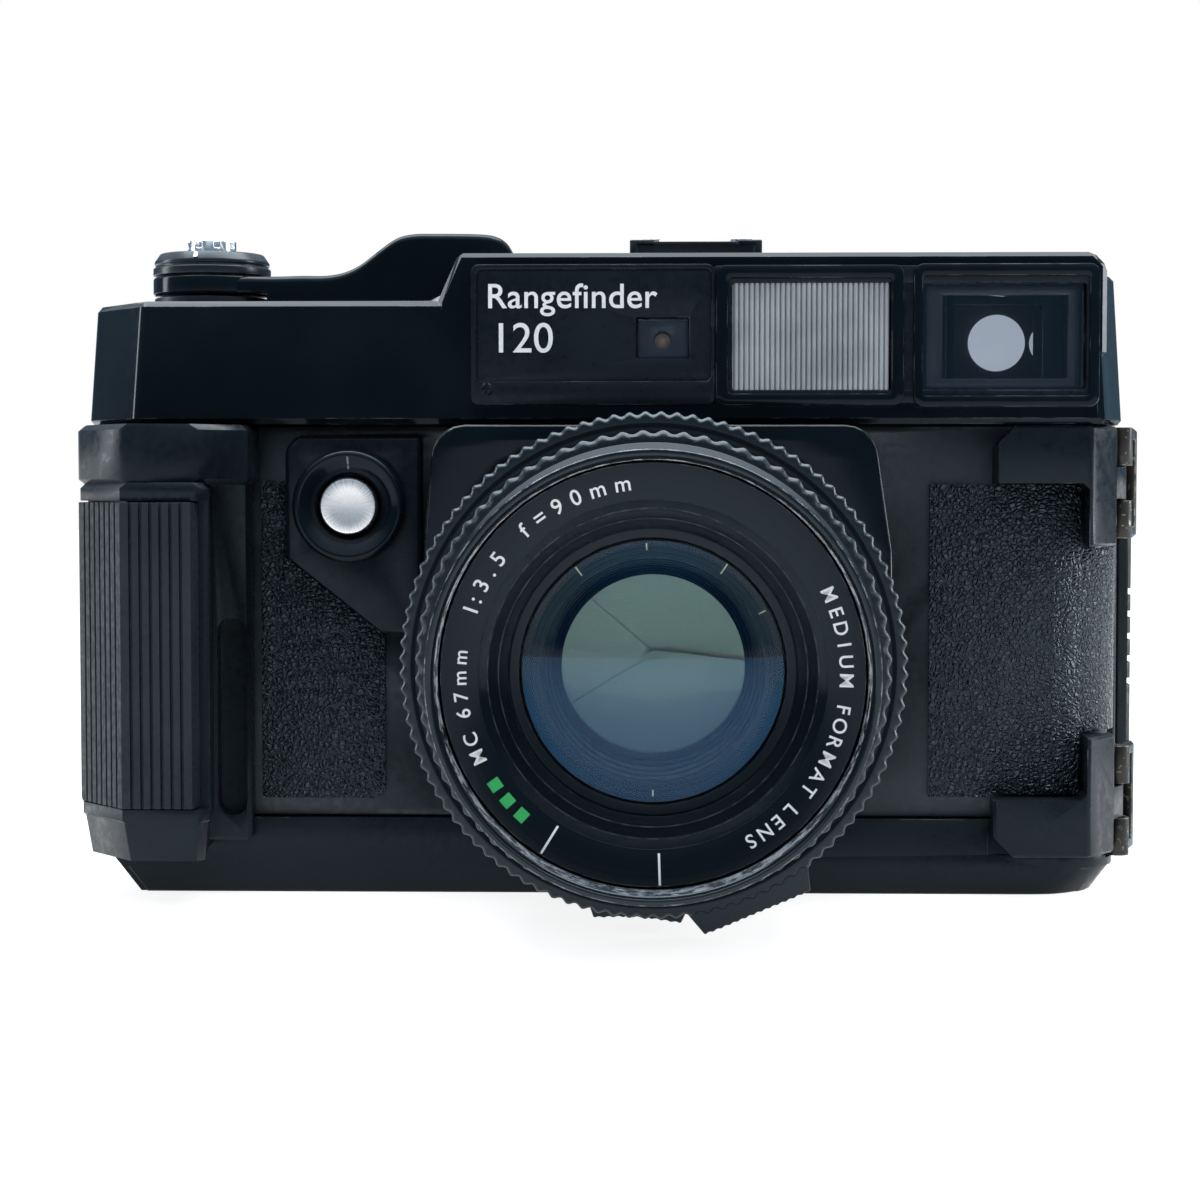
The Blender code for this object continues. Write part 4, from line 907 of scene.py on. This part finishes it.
def make_lever(looks):
    """The advance lever: a hub, and a deep arm that rises in an S over the finder housing."""
    over = spline([(-80, 114.45, 0), (-72, 114.45, 0), (-66, 114.5, 0), (-61, 114.8, 0), (-56.6, 114.95, 0),
                   (-53.2, 115.7, 0), (-50.3, 117.2, 0), (-47.1, 119.8, 0), (-43.6, 122.3, 0),
                   (-40.4, 123.2, 0), (-36, 123.35, 0), (-27.5, 123.35, 0), (-24.4, 122.9, 0),
                   (-22.6, 121.8, 0), (-21.6, 120.3, 0)], 4)
    under = [(-80, 111.2), (-67.3, 111.2), (-67.1, 109.2), (-39.6, 109.2), (-34.0, 112.0), (-31.6, 117.6),
             (-23.6, 117.6), (-21.5, 118.6)]
    front = [(-80, 22.8), (-70, 23.6), (-60, 27.6), (-48, 31.8), (-38, 33.1), (-30, 34.2), (-25.5, 35.2),
             (-21.5, 37.0)]
    back = [(-80, 42.2), (-70, 41.5), (-60, 42.0), (-48, 42.5), (-38, 43.2), (-30, 43.8), (-25.5, 43.0),
            (-21.5, 41.2)]
    crest = [(p.x, p.y) for p in over]
    stations = sorted(crest + [(x, along(crest, x)) for x in (-67.3, -67.1, -31.6)])
    work = bmesh.new()
    sections = []
    for x, top in stations:
        y0, y1, bottom = along(front, x), along(back, x), along(under, x)
        soft = min(1.3, (top - bottom) * 0.45)
        section = [(y0 + 0.3, bottom), (y0, bottom + 0.3)]
        for step in range(7):
            angle = math.pi / 2 * step / 6
            section.append((y0 + soft * (1 - math.cos(angle)), top - soft * (1 - math.sin(angle))))
        for step in range(7):
            angle = math.pi / 2 * (1 - step / 6)
            section.append((y1 - soft * (1 - math.cos(angle)), top - soft * (1 - math.sin(angle))))
        section += [(y1, bottom + 0.3), (y1 - 0.3, bottom)]
        sections.append([work.verts.new((x * MM, y * MM, z * MM)) for y, z in section])
    count = len(sections[0])
    for first, second in zip(sections, sections[1:]):
        for index in range(count):
            after = (index + 1) % count
            work.faces.new((first[index], second[index], second[after], first[after]))
    work.faces.new(sections[0])
    work.faces.new(sections[-1])
    arm = from_bmesh("lever_arm", work)
    fit(arm, looks["gloss"], "lever", "gloss_paint", "advance_lever")
    hub = turned("lever_hub", [(2.95, 98.0), (5.2, 98.0), (5.2, 111.0), (10.7, 111.0), (11.15, 111.4),
                               (11.15, 114.2), (10.9, 114.5), (2.95, 114.5)], HUB, "Z", steps=96,
                 origin=112.0, radius=0.15)
    fit(hub, looks["gloss"], "lever", "gloss_paint")


# ---- body

def make_grip_rubber(looks):
    """The ribbed cover of the grip: upright ribs round its side, facet and front."""
    low, high = size_of("grip_rubber")
    outer = [(-98.6, 19.0), (-98.6, 5.4), (-96.9, -1.1), (-87.0, -13.2), (-74.6, -13.2), (-73.9, -9.5)]
    inner = [(-75.2, -10.5), (-86.6, -10.5), (-95.8, 0.2), (-97.4, 6.0), (-97.4, 19.0)]
    pitch, depth = 1.9, 0.6
    outline = []
    for start, end in zip(outer, outer[1:]):
        a, b = Vector(start), Vector(end)
        along_edge = b - a
        inward = Vector((-along_edge.y, along_edge.x)).normalized()
        ribs = round(along_edge.length / pitch) if along_edge.length > 5 else 0
        outline.append(a)
        for index in range(1, ribs):
            for offset, cut in ((-0.26, 0.0), (-0.17, depth), (0.17, depth), (0.26, 0.0)):
                reach = index * along_edge.length / ribs + offset
                outline.append(a + along_edge.normalized() * reach + inward * cut)
    outline.append(Vector(outer[-1]))
    outline += [Vector(p) for p in inner]
    pad = prism("ribbed_grip", outline, low.z, high.z)
    fit(bevelled(pad, 0.08, 1, 40), looks["rubber"], "camera_body", "rubber", "grip_rubber")


def make_body(looks):
    """The covers, leather, grip, lugs and shoe."""
    gloss, satin = looks["gloss"], looks["satin"]
    cover = dress("top_cover", gloss, 0.35, 3)
    even = cover.modifiers.new("even_normals", "WEIGHTED_NORMAL")
    even.keep_sharp = True
    dress("bottom_cover", satin, 0.35, 2)
    dress("main_frame", looks["alloy"], 0.2, 1)
    dress("grip_shell", looks["grip"], 0.5, 3)
    dress("release_plate", satin, 0.25)
    dress("lens_board", gloss, 0.35, 3)
    dress("bezel_screw", satin, 0.05, 1)
    for which in ("upper", "lower"):
        dress(f"{which}_lug_bracket", satin, 0.25)
        dress(f"{which}_lug_pin", looks["brass"], 0.1, 1)
        dress(f"{which}_strap_lug", looks["brass"], 0.25)
    dress("leather_left", looks["leather"], 0.12)
    dress("leather_right", looks["leather"], 0.12)
    dress("accessory_shoe", looks["matt"], 0.12, 2)
    make_shoe_spring(looks)
    dress("tripod_socket", looks["steel"], 0.1, 1)
    make_grip_rubber(looks)


def make_shoe_spring(looks):
    """The sprung leaf in the shoe: dark, with bright tips folded over the lips."""
    low, high = size_of("shoe_spring")
    corners = [(low.x, low.y), (high.x, low.y), (high.x, high.y), (low.x, high.y)]
    leaf = prism("spring_leaf", corners, low.z, low.z + 0.3)
    fit(bevelled(leaf, 0.08), looks["matt"], "camera_body", "steel", "shoe_spring")
    top, lip = 121.2, 120.86
    tips = [[(6.3, low.z), (7.0, low.z), (7.0, top), (3.6, top), (3.6, lip), (6.3, lip)],
            [(20.3, low.z), (21.1, low.z), (21.1, lip), (24.4, lip), (24.4, top), (20.3, top)]]
    for index, outline in enumerate(tips):
        tip = prism(f"spring_tip_{index}", outline, low.y, low.y + 3.2, "Y")
        fit(bevelled(tip, 0.1), looks["steel"], "camera_body", "steel")


def make_back(looks):
    """The door and what it holds, and the spools."""
    dress("back_door", looks["satin"], 0.3, 2)
    dress("back_leather", looks["leather"], 0.15, 2)
    dress("memo_holder", looks["plastic"], 0.2, 2)
    dress("door_latch", looks["plastic"], 0.2, 2)
    dress("door_hinge_pin", looks["steel"], 0.1, 1)
    dress("pressure_plate", looks["plate"], 0.1, 2)
    dress("pressure_spring", looks["steel"], 0)
    dress("take_up_spool", looks["plastic"], 0.15, 1)
    dress("feed_spool", looks["plastic"], 0.15, 1)


def make_looks():
    """Every material, by a short name."""
    black = (0.0022, 0.0042, 0.0062)
    deep = (0.0040, 0.0062, 0.0084)
    worn = (0.30, 0.31, 0.32)
    return {
        "gloss": painted("gloss_black", black, 0.12, worn, 0.3, 0.45, specular=0.16),
        "satin": painted("satin_black", deep, 0.30, worn, 0.3, 0.35, 0.02, 0.17),
        "grip": painted("grip_plastic", deep, 0.30, (0.06, 0.07, 0.08), 0.4, 0.3, 0.02, 0.18),
        "plastic": painted("moulded_plastic", (0.006, 0.007, 0.008), 0.42, (0.05, 0.05, 0.05), 0.3, 0.3,
                           0.03, 0.3),
        "alloy": painted("die_casting", (0.012, 0.014, 0.016), 0.45, worn, 0.3, 0.3, 0.05),
        "leather": leather_look(),
        "rubber": rubber_look(),
        "ring": turned_metal("black_anodised", (0.006, 0.009, 0.012), 0.28, 0.0, specular=0.30),
        "satin_ring": turned_metal("satin_anodised", (0.008, 0.010, 0.013), 0.36, 0.0, specular=0.25),
        # Gloss rim: its rubbed edges are partly wear and partly a painted highlight, a bright grey laid
        # along the front edge in patches.
        "rim": turned_metal("gloss_rim", (0.004, 0.006, 0.008), 0.14, 0.0, 0.1, (0.6, 0.62, 0.65), 0.8,
                            0.35),
        "name_ring": turned_metal("name_ring_black", (0.002, 0.004, 0.006), 0.18, 0.0, 0.1, specular=0.22),
        "cell": turned_metal("cell_black", (0.003, 0.005, 0.007), 0.28, 0.0, 0.1, specular=0.20),
        "steel": turned_metal("plated_steel", (0.62, 0.63, 0.65), 0.25, 1.0, 0.2, (0.8, 0.8, 0.8), 0.5),
        "plate": turned_metal("pressure_black", (0.012, 0.012, 0.014), 0.35, 0.0),
        "silver": spun_silver(),
        "brass": brass_look(),
        "matt": painted("matt_black", (0.004, 0.005, 0.006), 0.5, worn, 0.3, 0.4, 0.03, 0.35),
        "brown": painted("brown_coating", (0.030, 0.018, 0.018), 0.35, worn, 0.2, 0.2),
        "blade": turned_metal("blade_steel", (0.17, 0.22, 0.21), 0.36, 0.4, 0.1),
        "white": plain_print("white_paint", (0.88, 0.88, 0.86)),
        "grey": plain_print("grey_paint", (0.20, 0.21, 0.22)),
        "green": plain_print("green_paint", (0.03, 0.45, 0.10)),
        "cream": plain_print("cream_paint", (0.80, 0.72, 0.50)),
        "window": coated_glass("window_glass", (0.90, 0.95, 1.0), 0.0, 1.3),
        "splitter": coated_glass("splitter_glass", (0.80, 0.72, 0.66), 0.0, 1.7, 1.25),
        "green_glass": coated_glass("green_coated_glass", (0.90, 1.0, 0.97), 140.0, 1.38, 1.6),
        "purple_glass": coated_glass("purple_coated_glass", (0.93, 0.97, 1.0), 95.0, 1.38, 1.6),
        "mirror": Look("silvered", (0.85, 0.85, 0.87), 0.05, 1.0),
        "ribbed": ribbed_look(),
        "glow": painted_glow_look("painted_glow_eyepiece", (0.50, 0.62, 0.78), 0.9),
        "amber_painted_glow": painted_glow_look("painted_glow_spot", (0.30, 0.20, 0.13), 0.10),
    }


def painted_glow_look(name, colour, strength):
    """Glass with a painted glow: its own emission stands in for daylight shining through from behind, a
    little uneven.
    """
    look = Look(name, colour, 0.15)
    tone = look.noise(300.0, 2.0)
    look.colour(look.mix(tone, tuple(c * 0.9 for c in colour), tuple(c * 1.1 for c in colour)))
    # Painted glow: emission makes the glass shine with no lamp behind it.
    look.set("Emission Color", (*colour, 1))
    look.set("Emission Strength", strength)
    return look


def ribbed_look():
    """Pale moulded plastic behind the frame-line window."""
    look = Look("pale_ribbed_plastic", (0.42, 0.43, 0.42), 0.3)
    tone = look.noise(60.0, 3.0)
    look.colour(look.mix(look.ramp(tone, 0.3, 0.7), (0.25, 0.265, 0.27), (0.40, 0.42, 0.43)))
    look.set("Specular IOR Level", 0.6)
    return look


def main():
    make_camera()
    make_stage()
    make_lights()
    looks = make_looks()
    make_body(looks)
    make_bezel(looks)
    make_windows(looks)
    make_lever(looks)
    make_controls(looks)
    make_lens(looks)
    make_back(looks)


main()
